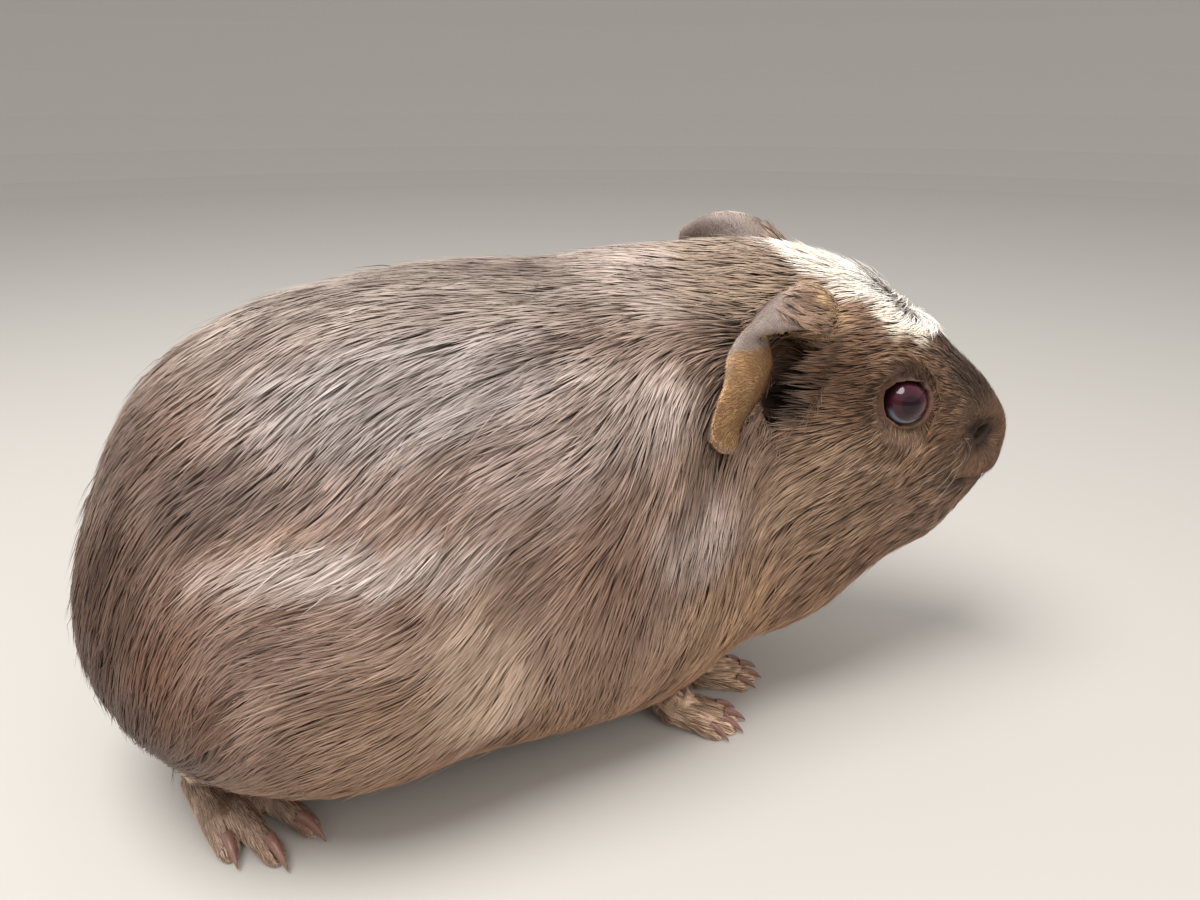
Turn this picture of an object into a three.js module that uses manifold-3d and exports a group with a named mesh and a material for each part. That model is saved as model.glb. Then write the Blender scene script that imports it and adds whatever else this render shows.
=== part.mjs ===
// A life-size guinea pig standing hunched on all four feet, with its head turned a little to its right.
// Millimetres, +X towards the head, +Y to the animal's left, +Z up, the floor at Z = 0.
//
// The body is one smooth blend of named masses (rump, barrel, shoulders, skull, cheeks, muzzle and so on).
// A capsule laid along the spine is pushed out to the surface of that blend, and the body is then parted
// with thin cuts into head, neck, trunk, thighs and upper forelegs. Feet, ears, eyes and claws are made
// apart and cut to meet the body. The outer faces stand at the tips of the coat.

import * as THREE from 'three';
import { mergeVertices } from 'three/addons/utils/BufferGeometryUtils.js';
import Module from 'manifold-3d';

const wasm = await Module();
wasm.setup();

// ---------------------------------------------------------------- driving sizes
const GAP = 0.3; // clearance left at every cut
const BACK_HEIGHT = 119; // floor to the top of the back
const HEAD_TURN = 20; // degrees, to the animal's right
const HEAD_DIP = 15; // degrees, nose down
const EYE_RADIUS = 6.2;
const EYE_AT = [37.3, 15.2, 0.3]; // in the head's own frame, on the left side
const PRESSED = 0.9; // the weight presses the soles and toes this far flat

const SIDES = { left: 1, right: -1 };

const vec = (p) => new THREE.Vector3(...p);
const clamp = THREE.MathUtils.clamp;
const lerp = THREE.MathUtils.lerp;
const radians = THREE.MathUtils.degToRad;

// The head's own frame starts at the poll, between the ears, with +X running to the nose.
const HEAD_ORIGIN = [54, -4, 92];
const headFrame = new THREE.Matrix4()
  .makeTranslation(...HEAD_ORIGIN)
  .multiply(new THREE.Matrix4().makeRotationZ(-radians(HEAD_TURN)))
  .multiply(new THREE.Matrix4().makeRotationY(radians(HEAD_DIP)));
const bodyFrame = new THREE.Matrix4();
const inHead = (p) => vec(p).applyMatrix4(headFrame);

// ---------------------------------------------------------------- the masses of the body
// Each is an ellipsoid: its centre, its half sizes, the degrees that it leans nose down and turns to the
// left, and how softly it runs into the rest. A paired mass is given for the left side.
const masses = [
  { frame: bodyFrame, at: [-53, 0, 60], half: [50, 48, 53], lean: -6, blend: 10 }, // rump
  { frame: bodyFrame, at: [-66, 0, 43], half: [45, 47, 37], blend: 12 }, // seat
  { frame: bodyFrame, at: [-18, -1, 63], half: [60, 51, BACK_HEIGHT - 63], lean: 1, blend: 14 }, // barrel
  { frame: bodyFrame, at: [24, -2, 67], half: [43, 33, 54], lean: -2, blend: 14 }, // shoulders
  { frame: bodyFrame, at: [50, -3, 85], half: [30, 25, 37], blend: 12 }, // nape
  { frame: bodyFrame, at: [55, -9, 44], half: [37, 29, 31], lean: -14, blend: 12 }, // breast
  // haunches
  { frame: bodyFrame, at: [-53, 27, 39], half: [43, 29, 32], lean: 2, turn: 2, blend: 14, paired: true },
  { frame: bodyFrame, at: [-6, 25, 34], half: [34, 22, 28], blend: 12, paired: true }, // flanks
  { frame: bodyFrame, at: [16, 20, 35], half: [27, 19, 30], lean: -14, blend: 14, paired: true }, // forelegs
  { frame: headFrame, at: [19, 0, 1], half: [31, 22.5, 25], blend: 12 }, // skull
  { frame: headFrame, at: [17, 8, 6], half: [26, 13, 16], lean: 8, blend: 8, paired: true }, // crown
  { frame: headFrame, at: [40, 0, -1], half: [25.3, 17.5, 17.8], lean: 8, blend: 8 }, // brow
  { frame: headFrame, at: [23, 12, -17], half: [25, 14, 17], lean: -8, blend: 10, paired: true }, // cheeks
  { frame: headFrame, at: [53.3, 0, -6.6], half: [21.3, 10.8, 15], blend: 8 }, // muzzle
  { frame: headFrame, at: [61.8, 4.6, -12], half: [9.8, 6.4, 7.6], blend: 6, paired: true }, // whisker pads
  { frame: headFrame, at: [37, 0, -30], half: [31, 20, 20], lean: -12, blend: 10 }, // throat
];

// Turns the list into ellipsoids with their inverse frames, one for each side of a paired mass.
const ellipsoids = masses.flatMap((m) => {
  const sides = m.paired ? [1, -1] : [1];
  return sides.map((side) => {
    const [x, y, z] = m.at;
    const place = m.frame
      .clone()
      .multiply(new THREE.Matrix4().makeTranslation(x, side * y, z))
      .multiply(new THREE.Matrix4().makeRotationZ(side * radians(m.turn ?? 0)))
      .multiply(new THREE.Matrix4().makeRotationY(radians(m.lean ?? 0)));
    return { inverse: place.invert(), half: vec(m.half), blend: m.blend };
  });
});

// About how far a point lies outside one ellipsoid.
function beyond(ellipsoid, point) {
  const p = point.clone().applyMatrix4(ellipsoid.inverse);
  const scaled = p.clone().divide(ellipsoid.half);
  const slope = scaled.clone().divide(ellipsoid.half).length();
  const reach = scaled.length();
  return slope < 1e-9 ? -Math.min(...ellipsoid.half.toArray()) : (reach * (reach - 1)) / slope;
}

// About how far a point lies outside the blended body. Negative inside.
function outside(point) {
  let distance = Infinity;
  for (const e of ellipsoids) {
    const d = beyond(e, point);
    const mix = Math.max(e.blend - Math.abs(distance - d), 0) / e.blend;
    distance = Math.min(distance, d) - (Number.isFinite(mix) ? (mix * mix * e.blend) / 4 : 0);
  }
  return distance;
}

// ---------------------------------------------------------------- closed solids
function solid(geometry) {
  const bare = geometry.clone();
  for (const name of ['normal', 'uv']) bare.deleteAttribute(name);
  const merged = mergeVertices(bare, 1e-4);
  const vertProperties = merged.attributes.position.array;
  const triVerts = new Uint32Array(merged.index.array);
  return new wasm.Manifold(new wasm.Mesh({ numProp: 3, vertProperties, triVerts }));
}

function geometryOf(manifold) {
  const { vertProperties, triVerts } = manifold.getMesh();
  const geometry = new THREE.BufferGeometry();
  geometry.setAttribute('position', new THREE.BufferAttribute(vertProperties, 3));
  geometry.setIndex(new THREE.BufferAttribute(triVerts, 1));
  geometry.computeVertexNormals();
  return geometry;
}

// Moves every vertex of a geometry by a rule.
function shaped(geometry, rule) {
  const position = geometry.attributes.position;
  const p = new THREE.Vector3();
  for (let i = 0; i < position.count; i++) {
    p.fromBufferAttribute(position, i);
    position.setXYZ(i, ...rule(p).toArray());
  }
  return geometry;
}

const join = (solids) => solids.reduce((a, b) => a.add(b));

// The largest body of a solid, without the slivers that a cut leaves.
const largest = (s) => s.decompose().sort((a, b) => b.volume() - a.volume())[0];

// ---------------------------------------------------------------- the body's surface
const SPINE = new THREE.CatmullRomCurve3([
  vec([-66, 0, 56]),
  vec([-30, 0, 60]),
  vec([8, -2, 62]),
  vec([40, -4, 68]),
  inHead([10, 0, -12]),
  inHead([36, 0, -10]),
  inHead([62, 0, -8]),
]);
const AROUND = 26;
const ALONG = 23;
const END_ROWS = 5;
const UP = new THREE.Vector3(0, 0, 1);

// The rows of the body stand square to its length at the rump and come round to the head's own length.
const headAxis = inHead([1, 0, 0]).sub(inHead([0, 0, 0]));
const facing = (along) => {
  const share = THREE.MathUtils.smoothstep(along, 0.5, 1);
  return new THREE.Vector3(1, 0, 0).lerp(headAxis, share).normalize();
};

// The body at a given distance outside the coat tips: a capsule pushed out from the spine to the blend.
function body(level) {
  const length = 1;
  const capsule = new THREE.CapsuleGeometry(1, length, END_ROWS, AROUND, ALONG);
  return solid(
    shaped(capsule, (p) => {
      // The rows crowd towards the head, where the form is finer.
      const along = 1 - (1 - clamp(p.y / length + 0.5, 0, 1)) ** 1.3;
      const tangent = facing(along);
      const side = new THREE.Vector3().crossVectors(UP, tangent).normalize();
      const up = new THREE.Vector3().crossVectors(tangent, side);
      const past = Math.abs(p.y) > length / 2 ? p.y - (Math.sign(p.y) * length) / 2 : 0;
      const ray = new THREE.Vector3()
        .addScaledVector(up, p.x)
        .addScaledVector(side, p.z)
        .addScaledVector(tangent, past)
        .normalize();
      return onSurface(SPINE.getPointAt(along), ray, level);
    }),
  );
}

// The point where a ray leaves the blended body, found by halving.
function onSurface(from, ray, level) {
  let near = 0;
  let far = 90;
  for (let i = 0; i < 30; i++) {
    const middle = (near + far) / 2;
    if (outside(from.clone().addScaledVector(ray, middle)) < level) near = middle;
    else far = middle;
  }
  return from.clone().addScaledVector(ray, near);
}

// ---------------------------------------------------------------- cuts
const FLOOR_SIZE = 600;
const aboveFloor = solid(
  new THREE.BoxGeometry(FLOOR_SIZE, FLOOR_SIZE, FLOOR_SIZE).translate(0, 0, FLOOR_SIZE / 2),
);

// A thin slab across the body, through a point and facing along an axis.
function slab(point, axis) {
  const way = axis.clone().normalize();
  const turn = new THREE.Quaternion().setFromUnitVectors(new THREE.Vector3(1, 0, 0), way);
  return solid(new THREE.BoxGeometry(GAP, 300, 300).applyQuaternion(turn).translate(...point.toArray()));
}

// An ellipsoid that marks off the top of a limb, grown by some clearance.
function limbEnd({ at, half, lean }, side, grown) {
  const sphere = new THREE.SphereGeometry(1, 14, 9);
  sphere.scale(...half.map((h) => h + grown));
  sphere.rotateY(radians(lean));
  sphere.translate(at[0], side * at[1], at[2]);
  return solid(sphere);
}

const THIGH = { at: [-48, 50, 42], half: [41, 34, 38], lean: 10 };
const UPPER_FORELEG = { at: [24, 40, 36], half: [20, 22, 32], lean: -16 };

// ---------------------------------------------------------------- feet
// A round-ended bar that tapers from one point to another.
function bar([from, to], [startRadius, endRadius], grown = 0, sides = 6, capRows = 2) {
  const a = vec(from);
  const axis = vec(to).sub(a);
  const way = axis.clone().normalize();
  const turn = new THREE.Quaternion().setFromUnitVectors(new THREE.Vector3(0, 1, 0), way);
  const capsule = new THREE.CapsuleGeometry(1, 1, capRows, sides, 1);
  return solid(
    shaped(capsule, (p) => {
      const along = clamp(p.y + 0.5, 0, 1);
      const radius = lerp(startRadius, endRadius, along) + grown;
      const end = p.y - (along - 0.5);
      const offset = new THREE.Vector3(p.x, end, p.z).multiplyScalar(radius).applyQuaternion(turn);
      return a.clone().addScaledVector(axis, along).add(offset);
    }),
  );
}

// A foot in its own frame, heel at the origin and toes along +X, outermost toe first: the sole, the toes
// with the sideways place of each knuckle and the degrees that it spreads, the claws, the ankle that
// leans into the coat, and where each foot stands.
const HIND_FOOT = {
  sole: { length: 18, width: 14, height: 9 },
  toes: [
    { side: 5.5, spread: 9, length: 9, radius: 2.4 },
    { side: 0.5, spread: 1, length: 17, radius: 2.7 },
    { side: -7, spread: -6, length: 16, radius: 2.6 },
  ],
  claw: { length: 4, radius: 1.1 },
  ankle: { rise: 24, lean: 10, radius: 7 },
  stances: { left: { at: [-89, 12], turn: 62 }, right: { at: [-89, -12], turn: -62 } },
};
const FORE_FOOT = {
  sole: { length: 8, width: 8, height: 8 },
  toes: [
    { side: 3.4, spread: 20, length: 7, radius: 1.8 },
    { side: 1.2, spread: 6, length: 9.5, radius: 2 },
    { side: -1.2, spread: -6, length: 9.5, radius: 2 },
    { side: -3.4, spread: -20, length: 7, radius: 1.8 },
  ],
  claw: { length: 2.8, radius: 0.9 },
  ankle: { rise: 22, lean: -3, radius: 6.5 },
  stances: { left: { at: [37, -14], turn: -10 }, right: { at: [25, -26], turn: -34 } },
};

function footSolids(shape, name, bodyGrown) {
  const { sole, toes, claw, ankle, stances } = shape;
  const soleRadius = sole.height / 2;
  const soleHeight = soleRadius - PRESSED;
  const edge = sole.width / 2 - soleRadius / 2;
  const pieces = [
    bar([[0, 0, soleHeight], [ankle.lean, 0, ankle.rise]], [soleRadius, ankle.radius], 0, 8, 1),
    bar([[0, 1, soleHeight], [sole.length, edge, soleHeight - 0.7]], [soleRadius, soleRadius - 0.7], 0, 8, 1),
    bar(
      [[0, -1, soleHeight], [sole.length, -edge, soleHeight - 0.7]],
      [soleRadius, soleRadius - 0.7], 0, 8, 1,
    ),
  ];
  const claws = [];
  const sockets = [];
  for (const { side, spread, length, radius } of toes) {
    const ahead = new THREE.Vector3(Math.cos(radians(spread)), Math.sin(radians(spread)), 0);
    const knuckle = vec([sole.length - 2, side, radius + 1]);
    const tip = knuckle.clone().addScaledVector(ahead, length).setZ(radius - PRESSED);
    const clawRoot = tip.clone().setZ(radius + 0.4);
    const clawTip = tip.clone().addScaledVector(ahead, claw.length + radius).setZ(0.5);
    pieces.push(bar([knuckle.toArray(), tip.toArray()], [radius + 0.7, radius]));
    const ends = [clawRoot.toArray(), clawTip.toArray()];
    claws.push(bar(ends, [claw.radius, 0.4], 0, 5, 1));
    sockets.push(bar(ends, [claw.radius, 0.4], GAP, 5, 1));
  }
  // Both sides share one design, mirrored for the right foot, and stand where that foot stands.
  const { at, turn } = stances[name];
  const place = (s) => {
    const handed = SIDES[name] > 0 ? s : s.mirror([0, 1, 0]);
    return handed.rotate([0, 0, turn]).translate([...at, 0]);
  };
  const whole = place(join(pieces)).intersect(aboveFloor);
  const clear = place(join(sockets)).add(bodyGrown);
  return {
    foot: largest(whole.subtract(clear)),
    claws: claws.map((c) => place(c).intersect(aboveFloor)),
  };
}

// ---------------------------------------------------------------- ears
// The flap is a thin sheet. From each point of its root, along a line behind the ear opening, it bends out
// by way of a middle point to its free edge. The stations run from the front of the arch over the top and
// down to the lobe, in the head's frame, for the left ear.
const EAR_STATIONS = [
  { root: [16, 15, 12], middle: [17, 19, 15], edge: [16, 19, 11] },
  { root: [10, 14, 15], middle: [10, 23, 25], edge: [10, 28, 14] },
  { root: [4, 14, 15], middle: [2, 24, 29], edge: [0, 31.5, 12] },
  { root: [0, 15, 10], middle: [-6, 28, 20], edge: [-11, 32, 5] },
  { root: [1, 16, 2], middle: [2, 33, 7], edge: [-9, 32, -3] },
  { root: [2, 16, -6], middle: [5, 34, -5], edge: [-9, 32, -11] },
  { root: [3, 16, -12], middle: [4, 33, -15], edge: [-7, 32, -18] },
  { root: [4, 17, -16], middle: [4, 29, -20], edge: [-2, 31, -20] },
];
const EAR_THICKNESS = 1.5;
const EAR_CELLS = [14, 5];
const earCurves = Object.fromEntries(
  ['root', 'middle', 'edge'].map((key) => {
    const places = EAR_STATIONS.map((station) => vec(station[key]));
    return [key, new THREE.CatmullRomCurve3(places)];
  }),
);

// Each ear hangs its own way: how far its top is perked up and back from the shape of the stations, and how
// far its lobe is pushed out. The neck's fold pushes out the lobe on the side that the head turns to.
const EAR_HANG = {
  left: { top: [-12, -2, 14], lobe: [0, 0, 6] },
  right: { top: [0, 0, 0], lobe: [-3, 10, 3] },
};

function earPoint(across, out, name) {
  const t = clamp(across, 0, 1);
  const points = ['root', 'middle', 'edge'].map((key) => earCurves[key].getPoint(t));
  const { top, lobe } = EAR_HANG[name];
  return new THREE.QuadraticBezierCurve3(...points)
    .getPoint(out)
    .addScaledVector(vec(top), Math.sin((out * Math.PI) / 2) * Math.sin(Math.PI * Math.min(1.2 * t, 1)))
    .addScaledVector(vec(lobe), out * THREE.MathUtils.smoothstep(t, 0.3, 0.7));
}

// The opening of the ear is a hollow in front of the flap.
const EAR_HOLLOW = { at: [6, 22, 0], half: [7, 11, 11] };

function earHollow(side, grown) {
  const sphere = new THREE.SphereGeometry(1, 12, 8).scale(...EAR_HOLLOW.half.map((h) => h + grown));
  const [x, y, z] = EAR_HOLLOW.at;
  return solid(sphere.translate(x, side * y, z).applyMatrix4(headFrame));
}

function ear(name, bodyGrown) {
  const side = SIDES[name];
  const sheet = new THREE.BoxGeometry(1, 1, 1, ...EAR_CELLS, 1);
  const step = 0.01;
  const flap = shaped(sheet, (p) => {
    const across = p.x + 0.5;
    const out = p.y + 0.5;
    const here = earPoint(across, out, name);
    const low = Math.min(across, 1 - step);
    const near = Math.max(out, step);
    const acrossWay = earPoint(low + step, near, name).sub(earPoint(low, near, name));
    const outWay = earPoint(across, out + step, name).sub(earPoint(across, out, name));
    const normal = acrossWay.cross(outWay).normalize();
    const thick = EAR_THICKNESS * lerp(1.2, 0.7, out);
    return here.addScaledVector(normal, p.z * thick).applyMatrix4(headFrame);
  });
  let flapSolid = solid(flap);
  if (side < 0) flapSolid = flapSolid.transform([...mirrorHead.elements]);
  return largest(flapSolid.subtract(bodyGrown.subtract(earHollow(side, -GAP))));
}

// The mirror about the head's own middle plane.
const mirrorHead = headFrame
  .clone()
  .multiply(new THREE.Matrix4().makeScale(1, -1, 1))
  .multiply(headFrame.clone().invert());

// ---------------------------------------------------------------- eyes
function eyeball(side, grown = 0) {
  const [x, y, z] = EYE_AT;
  const sphere = new THREE.SphereGeometry(EYE_RADIUS + grown, 12, 8).rotateX(Math.PI / 2);
  return solid(sphere.translate(x, side * y, z).applyMatrix4(headFrame));
}

// The lids stand open round the eye: a shallow bowl in the coat, outwards from the eye.
const LID_OPENING = { out: 4.2, radius: 6.6 };

function lidOpening(side) {
  const [x, y, z] = EYE_AT;
  const sphere = new THREE.SphereGeometry(LID_OPENING.radius, 12, 8).rotateX(Math.PI / 2);
  return solid(sphere.translate(x, side * (y + LID_OPENING.out), z).applyMatrix4(headFrame));
}

// ---------------------------------------------------------------- colours
const finish = (color, roughness) => new THREE.MeshStandardMaterial({ color, roughness, metalness: 0 });
const coat = finish(0x85705f, 0.8);
const crestCoat = finish(0x8a7564, 0.8);
const footCoat = finish(0x7a6557, 0.8);
const earSkin = finish(0x957a62, 0.7);
const eyeGlass = finish(0x2c1216, 0.1);
const clawHorn = finish(0xa57f74, 0.5);

// ---------------------------------------------------------------- assembly
const parts = [];
const add = (name, s, material) => parts.push([name, s, material]);

const bodyGrown = body(GAP);
let rest = body(0);
for (const side of [1, -1]) {
  rest = rest.subtract(eyeball(side, GAP)).subtract(lidOpening(side)).subtract(earHollow(side, 0));
}

for (const [name, side] of Object.entries(SIDES)) {
  for (const [limb, shape] of [['thigh', THIGH], ['upper_foreleg', UPPER_FORELEG]]) {
    add(`${limb}_${name}`, largest(rest.intersect(limbEnd(shape, side, 0))), coat);
    rest = rest.subtract(limbEnd(shape, side, GAP));
  }
}

const headCut = slab(inHead([-6, 0, 0]), vec([0.92, -0.33, 0.23]));
const neckCut = slab(vec([26, -4, 70]), vec([0.98, -0.15, 0.1]));
const [head, neck, trunk] = rest
  .subtract(headCut)
  .subtract(neckCut)
  .decompose()
  .sort((a, b) => b.volume() - a.volume())
  .slice(0, 3)
  .sort((a, b) => b.boundingBox().max[0] - a.boundingBox().max[0]);
add('head', head, crestCoat);
add('neck', neck, coat);
add('trunk', trunk, coat);

for (const [name, side] of Object.entries(SIDES)) {
  add(`eye_${name}`, eyeball(side), eyeGlass);
  add(`ear_${name}`, ear(name, bodyGrown), earSkin);
  for (const [limb, shape] of [['hind', HIND_FOOT], ['fore', FORE_FOOT]]) {
    const { foot, claws } = footSolids(shape, name, bodyGrown);
    add(`${limb}foot_${name}`, foot, footCoat);
    claws.forEach((claw, i) => add(`${limb}claw_${name}_${i + 1}`, claw, clawHorn));
  }
}

const guineaPig = new THREE.Group();
for (const [name, s, material] of parts) {
  const mesh = new THREE.Mesh(geometryOf(s), material);
  mesh.name = name;
  guineaPig.add(mesh);
}

// The origin is on the floor, under the middle of the model's bounding box.
const box = new THREE.Box3().setFromObject(guineaPig);
const middle = box.getCenter(new THREE.Vector3());
guineaPig.position.set(-middle.x, -middle.y, -box.min.z);

export default guineaPig;
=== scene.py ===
# %% [markdown]
# # A crested guinea pig, from skin to whisker
#
# This notebook dresses the solid model of a guinea pig as a museum would show the animal: one skin over
# the whole body, wet eyes, horn claws, and a coat of short and long hair that lies the way it grows.
# Lengths below are in millimetres until a mesh is made, because that is how a small animal is measured.

# %% Load the solid model
import math
from contextlib import contextmanager

import bmesh
import bpy
import numpy as np
from mathutils import Matrix, Vector
from mathutils.bvhtree import BVHTree
from mathutils.kdtree import KDTree


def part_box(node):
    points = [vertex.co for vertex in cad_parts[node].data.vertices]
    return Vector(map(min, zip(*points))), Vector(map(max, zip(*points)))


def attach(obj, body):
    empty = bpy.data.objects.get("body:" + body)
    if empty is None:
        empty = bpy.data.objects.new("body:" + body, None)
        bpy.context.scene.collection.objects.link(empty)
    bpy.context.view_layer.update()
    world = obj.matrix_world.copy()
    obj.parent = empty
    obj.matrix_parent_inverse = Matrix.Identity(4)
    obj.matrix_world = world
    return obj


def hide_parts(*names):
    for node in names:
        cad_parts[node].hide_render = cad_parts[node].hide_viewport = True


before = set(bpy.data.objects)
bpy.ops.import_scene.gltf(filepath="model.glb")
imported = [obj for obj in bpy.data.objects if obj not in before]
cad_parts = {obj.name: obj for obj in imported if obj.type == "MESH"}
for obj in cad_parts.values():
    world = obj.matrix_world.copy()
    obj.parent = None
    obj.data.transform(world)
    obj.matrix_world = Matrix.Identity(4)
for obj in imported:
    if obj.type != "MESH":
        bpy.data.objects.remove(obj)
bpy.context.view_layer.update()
MM = 0.001
SIDES = {"left": 1, "right": -1}

# %% [markdown]
# ## The head's own frame
#
# The head is turned to the animal's right and dips a little, so places on the face are easier to name in
# a frame that turns with it: forward to the nose, left, and up. The two eyes fix where that frame sits.

# %% Find the head's frame from the eyes
HEAD_TURN = math.radians(20)
HEAD_DIP = math.radians(15)
EYES_FROM_POLL = (37.3, 0.0, 0.3)


def centre_of(node):
    low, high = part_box(node)
    return np.array((low + high) / 2) / MM


eye_centre = {side: centre_of(f"eye_{side}") for side in SIDES}
head_axes = np.array((Matrix.Rotation(-HEAD_TURN, 3, "Z") @ Matrix.Rotation(HEAD_DIP, 3, "Y")))
head_origin = (eye_centre["left"] + eye_centre["right"]) / 2 - head_axes @ np.array(EYES_FROM_POLL)


def from_head(place):
    return np.asarray(place) @ head_axes.T + head_origin


def to_head(points):
    return (points - head_origin) @ head_axes


print("the poll is at", head_origin.round(1))

# %% [markdown]
# ## A chart of the coat
#
# Hair has a lie: it points from the nose over the back to the rump, runs down the shoulders and flanks,
# and sweeps back over the thighs. The chart names places on the left half of the body. Each gives where it
# is, the way the hair points, the length of the hair and how far its tips stand off the skin. Everything
# between the places is blended from the nearest ones, and the right half mirrors the left.

# %% The chart
BODY_CHART = {
    "withers": ((25, 0, 118), (-1.0, 0.0, 0.0), 17, 3.0),
    "back": ((-15, 0, 119), (-1.0, 0.0, 0.0), 19, 3.4),
    "rump top": ((-80, 0, 102), (-0.9, 0.0, -0.5), 20, 3.8),
    "rump end": ((-112, 0, 60), (-0.3, 0.0, -1.0), 19, 4.0),
    "rump side": ((-98, 36, 60), (-0.6, 0.0, -0.8), 19, 3.8),
    "seat": ((-104, 0, 22), (-0.3, 0.0, -0.9), 15, 3.4),
    "upper side": ((-25, 42, 94), (-0.9, 0.1, -0.45), 19, 3.4),
    "side": ((-22, 54, 66), (-0.75, 0.0, -0.65), 19, 3.4),
    "hip": ((-52, 56, 62), (-1.0, 0.0, -0.15), 19, 3.4),
    "back of thigh": ((-84, 50, 38), (-0.75, 0.0, -0.65), 18, 3.4),
    "low thigh": ((-52, 50, 16), (-0.8, 0.0, -0.6), 17, 3.2),
    "flank": ((0, 48, 50), (-0.25, 0.0, -1.0), 19, 3.2),
    "low flank": ((-2, 42, 16), (-0.35, -0.1, -0.9), 16, 3.0),
    "shoulder": ((25, 38, 84), (-0.5, 0.1, -0.85), 17, 3.0),
    "upper foreleg": ((30, 38, 42), (-0.55, 0.0, -0.85), 14, 2.6),
    "elbow": ((14, 36, 14), (-0.5, 0.0, -0.85), 12, 2.4),
    "chest": ((66, 12, 26), (-0.35, 0.1, -0.95), 13, 2.8),
    "belly": ((-20, 14, 8), (-1.0, 0.15, 0.0), 11, 2.2),
    "groin": ((-70, 14, 8), (-1.0, 0.1, 0.0), 11, 2.2),
    "nape": ((40, 14, 116), (-0.95, 0.15, -0.1), 14, 2.8),
    "side of neck": ((36, 38, 78), (-0.6, 0.1, -0.8), 14, 2.8),
}
HEAD_CHART = {
    "crown": ((6, 0, 27), (-1.0, 0.0, 0.0), 11, 2.2),
    "side of crown": ((12, 15, 18), (-0.9, 0.4, -0.2), 11, 2.4),
    "brow": ((40, 14, 10), (-1.0, 0.1, 0.15), 6, 1.3),
    "bridge": ((60, 0, 7), (-1.0, 0.0, 0.15), 4.5, 1.1),
    "nose": ((72, 0, -3), (-0.8, 0.0, 0.6), 2.6, 0.6),
    "whisker pad": ((63, 12, -9), (-1.0, 0.2, -0.15), 4.2, 1.0),
    "below eye": ((38, 19, -10), (-0.75, 0.0, -0.65), 6.5, 1.3),
    "behind eye": ((24, 22, 1), (-1.0, 0.0, -0.25), 7, 1.5),
    "before the ear": ((17, 24, -1), (-1.0, 0.25, -0.15), 11, 2.0),
    "cheek": ((24, 25, -14), (-0.75, 0.0, -0.65), 11, 2.2),
    "jowl": ((36, 18, -32), (-0.7, 0.0, -0.7), 12, 2.4),
    "chin": ((63, 4, -21), (-0.85, 0.1, -0.5), 5.5, 1.2),
    "throat": ((38, 0, -49), (-0.6, 0.0, -0.8), 13, 2.6),
}


def chart_rows():
    rows = []
    for mirror in (1, -1):
        flip = np.array((1, mirror, 1))
        for place, lie, length, depth in BODY_CHART.values():
            rows.append((*(place * flip), *(lie * flip), length, depth))
        for place, lie, length, depth in HEAD_CHART.values():
            rows.append((*from_head(place * flip), *(head_axes @ (lie * flip)), length, depth))
    return np.array(rows)


chart = chart_rows()
BLEND = 5.0  # places nearer than this run together
READ_AT_ONCE = 20000


def read_chart(points):
    """The lie, length and depth of the coat at each point."""
    read = np.empty((len(points), 5))
    for start in range(0, len(points), READ_AT_ONCE):
        some = slice(start, start + READ_AT_ONCE)
        apart = ((points[some, None, :] - chart[None, :, :3]) ** 2).sum(2)
        share = 1 / (apart + BLEND**2) ** 2
        read[some] = share @ chart[:, 3:] / share.sum(1)[:, None]
    return read[:, :3], read[:, 3], read[:, 4]


print(len(chart), "places on the chart")

# %% [markdown]
# ## One skin
#
# Under the coat an animal is one unbroken skin. The solid model is in named parts with hairline cuts
# between them, so the parts are copied, swollen enough to close the cuts, and remeshed into one even
# surface, which is then smoothed and let down by the depth of the coat.

# %% Helpers for meshes
def select_only(*objects):
    bpy.ops.object.select_all(action="DESELECT")
    for one in objects:
        one.select_set(True)
    bpy.context.view_layer.objects.active = objects[0]


@contextmanager
def editing(select=False):
    bpy.ops.object.mode_set(mode="EDIT")
    if select:
        bpy.ops.mesh.select_all(action="SELECT")
    yield
    bpy.ops.object.mode_set(mode="OBJECT")


def apply_modifier(piece, kind, **settings):
    select_only(piece)
    modifier = piece.modifiers.new(kind.lower(), kind)
    for name, value in settings.items():
        setattr(modifier, name, value)
    bpy.ops.object.modifier_apply(modifier=modifier.name)


def flesh_copy(name, *nodes):
    """A copy of some solids as one mesh, with its loose triangles joined up."""
    copies = []
    for node in nodes:
        twin = bpy.data.objects.new(f"{name}_{node}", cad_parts[node].data.copy())
        bpy.context.collection.objects.link(twin)
        copies.append(twin)
    select_only(*copies)
    bpy.ops.object.join()
    joined = bpy.context.active_object
    joined.name = name
    joined.data.materials.clear()
    bpy.ops.mesh.customdata_custom_splitnormals_clear()
    with editing(select=True):
        bpy.ops.mesh.remove_doubles(threshold=0.001 * MM)
    return joined


def read_all(items, field, each=1, kind=np.int32):
    """One field of every item of a mesh, in rows where the field has more than one value."""
    flat = np.empty(len(items) * each, kind)
    items.foreach_get(field, flat)
    return flat.reshape(-1, each) if each > 1 else flat


def write_trait(mesh, name, values, kind="FLOAT", place="POINT", field="value"):
    mesh.attributes.new(name, kind, place).data.foreach_set(field, values)


def get_points(piece):
    return read_all(piece.data.vertices, "co", 3, float) / MM


def set_points(piece, points):
    piece.data.vertices.foreach_set("co", (points * MM).ravel())
    piece.data.update()


def get_normals(piece):
    return read_all(piece.data.vertices, "normal", 3, float)


def smoothstep(low, high, value):
    t = np.clip((value - low) / (high - low), 0, 1)
    return t * t * (3 - 2 * t)


def hump(distance, width):
    """1 at no distance, dying away smoothly beyond the width."""
    return np.exp(-((distance / width) ** 2))


def mirror_of(face):
    """Signs that fold the right half of the head over onto the left half."""
    return np.sign(face[:, 1:2]) * (0, 1, 0) + (1, 0, 1)


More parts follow.
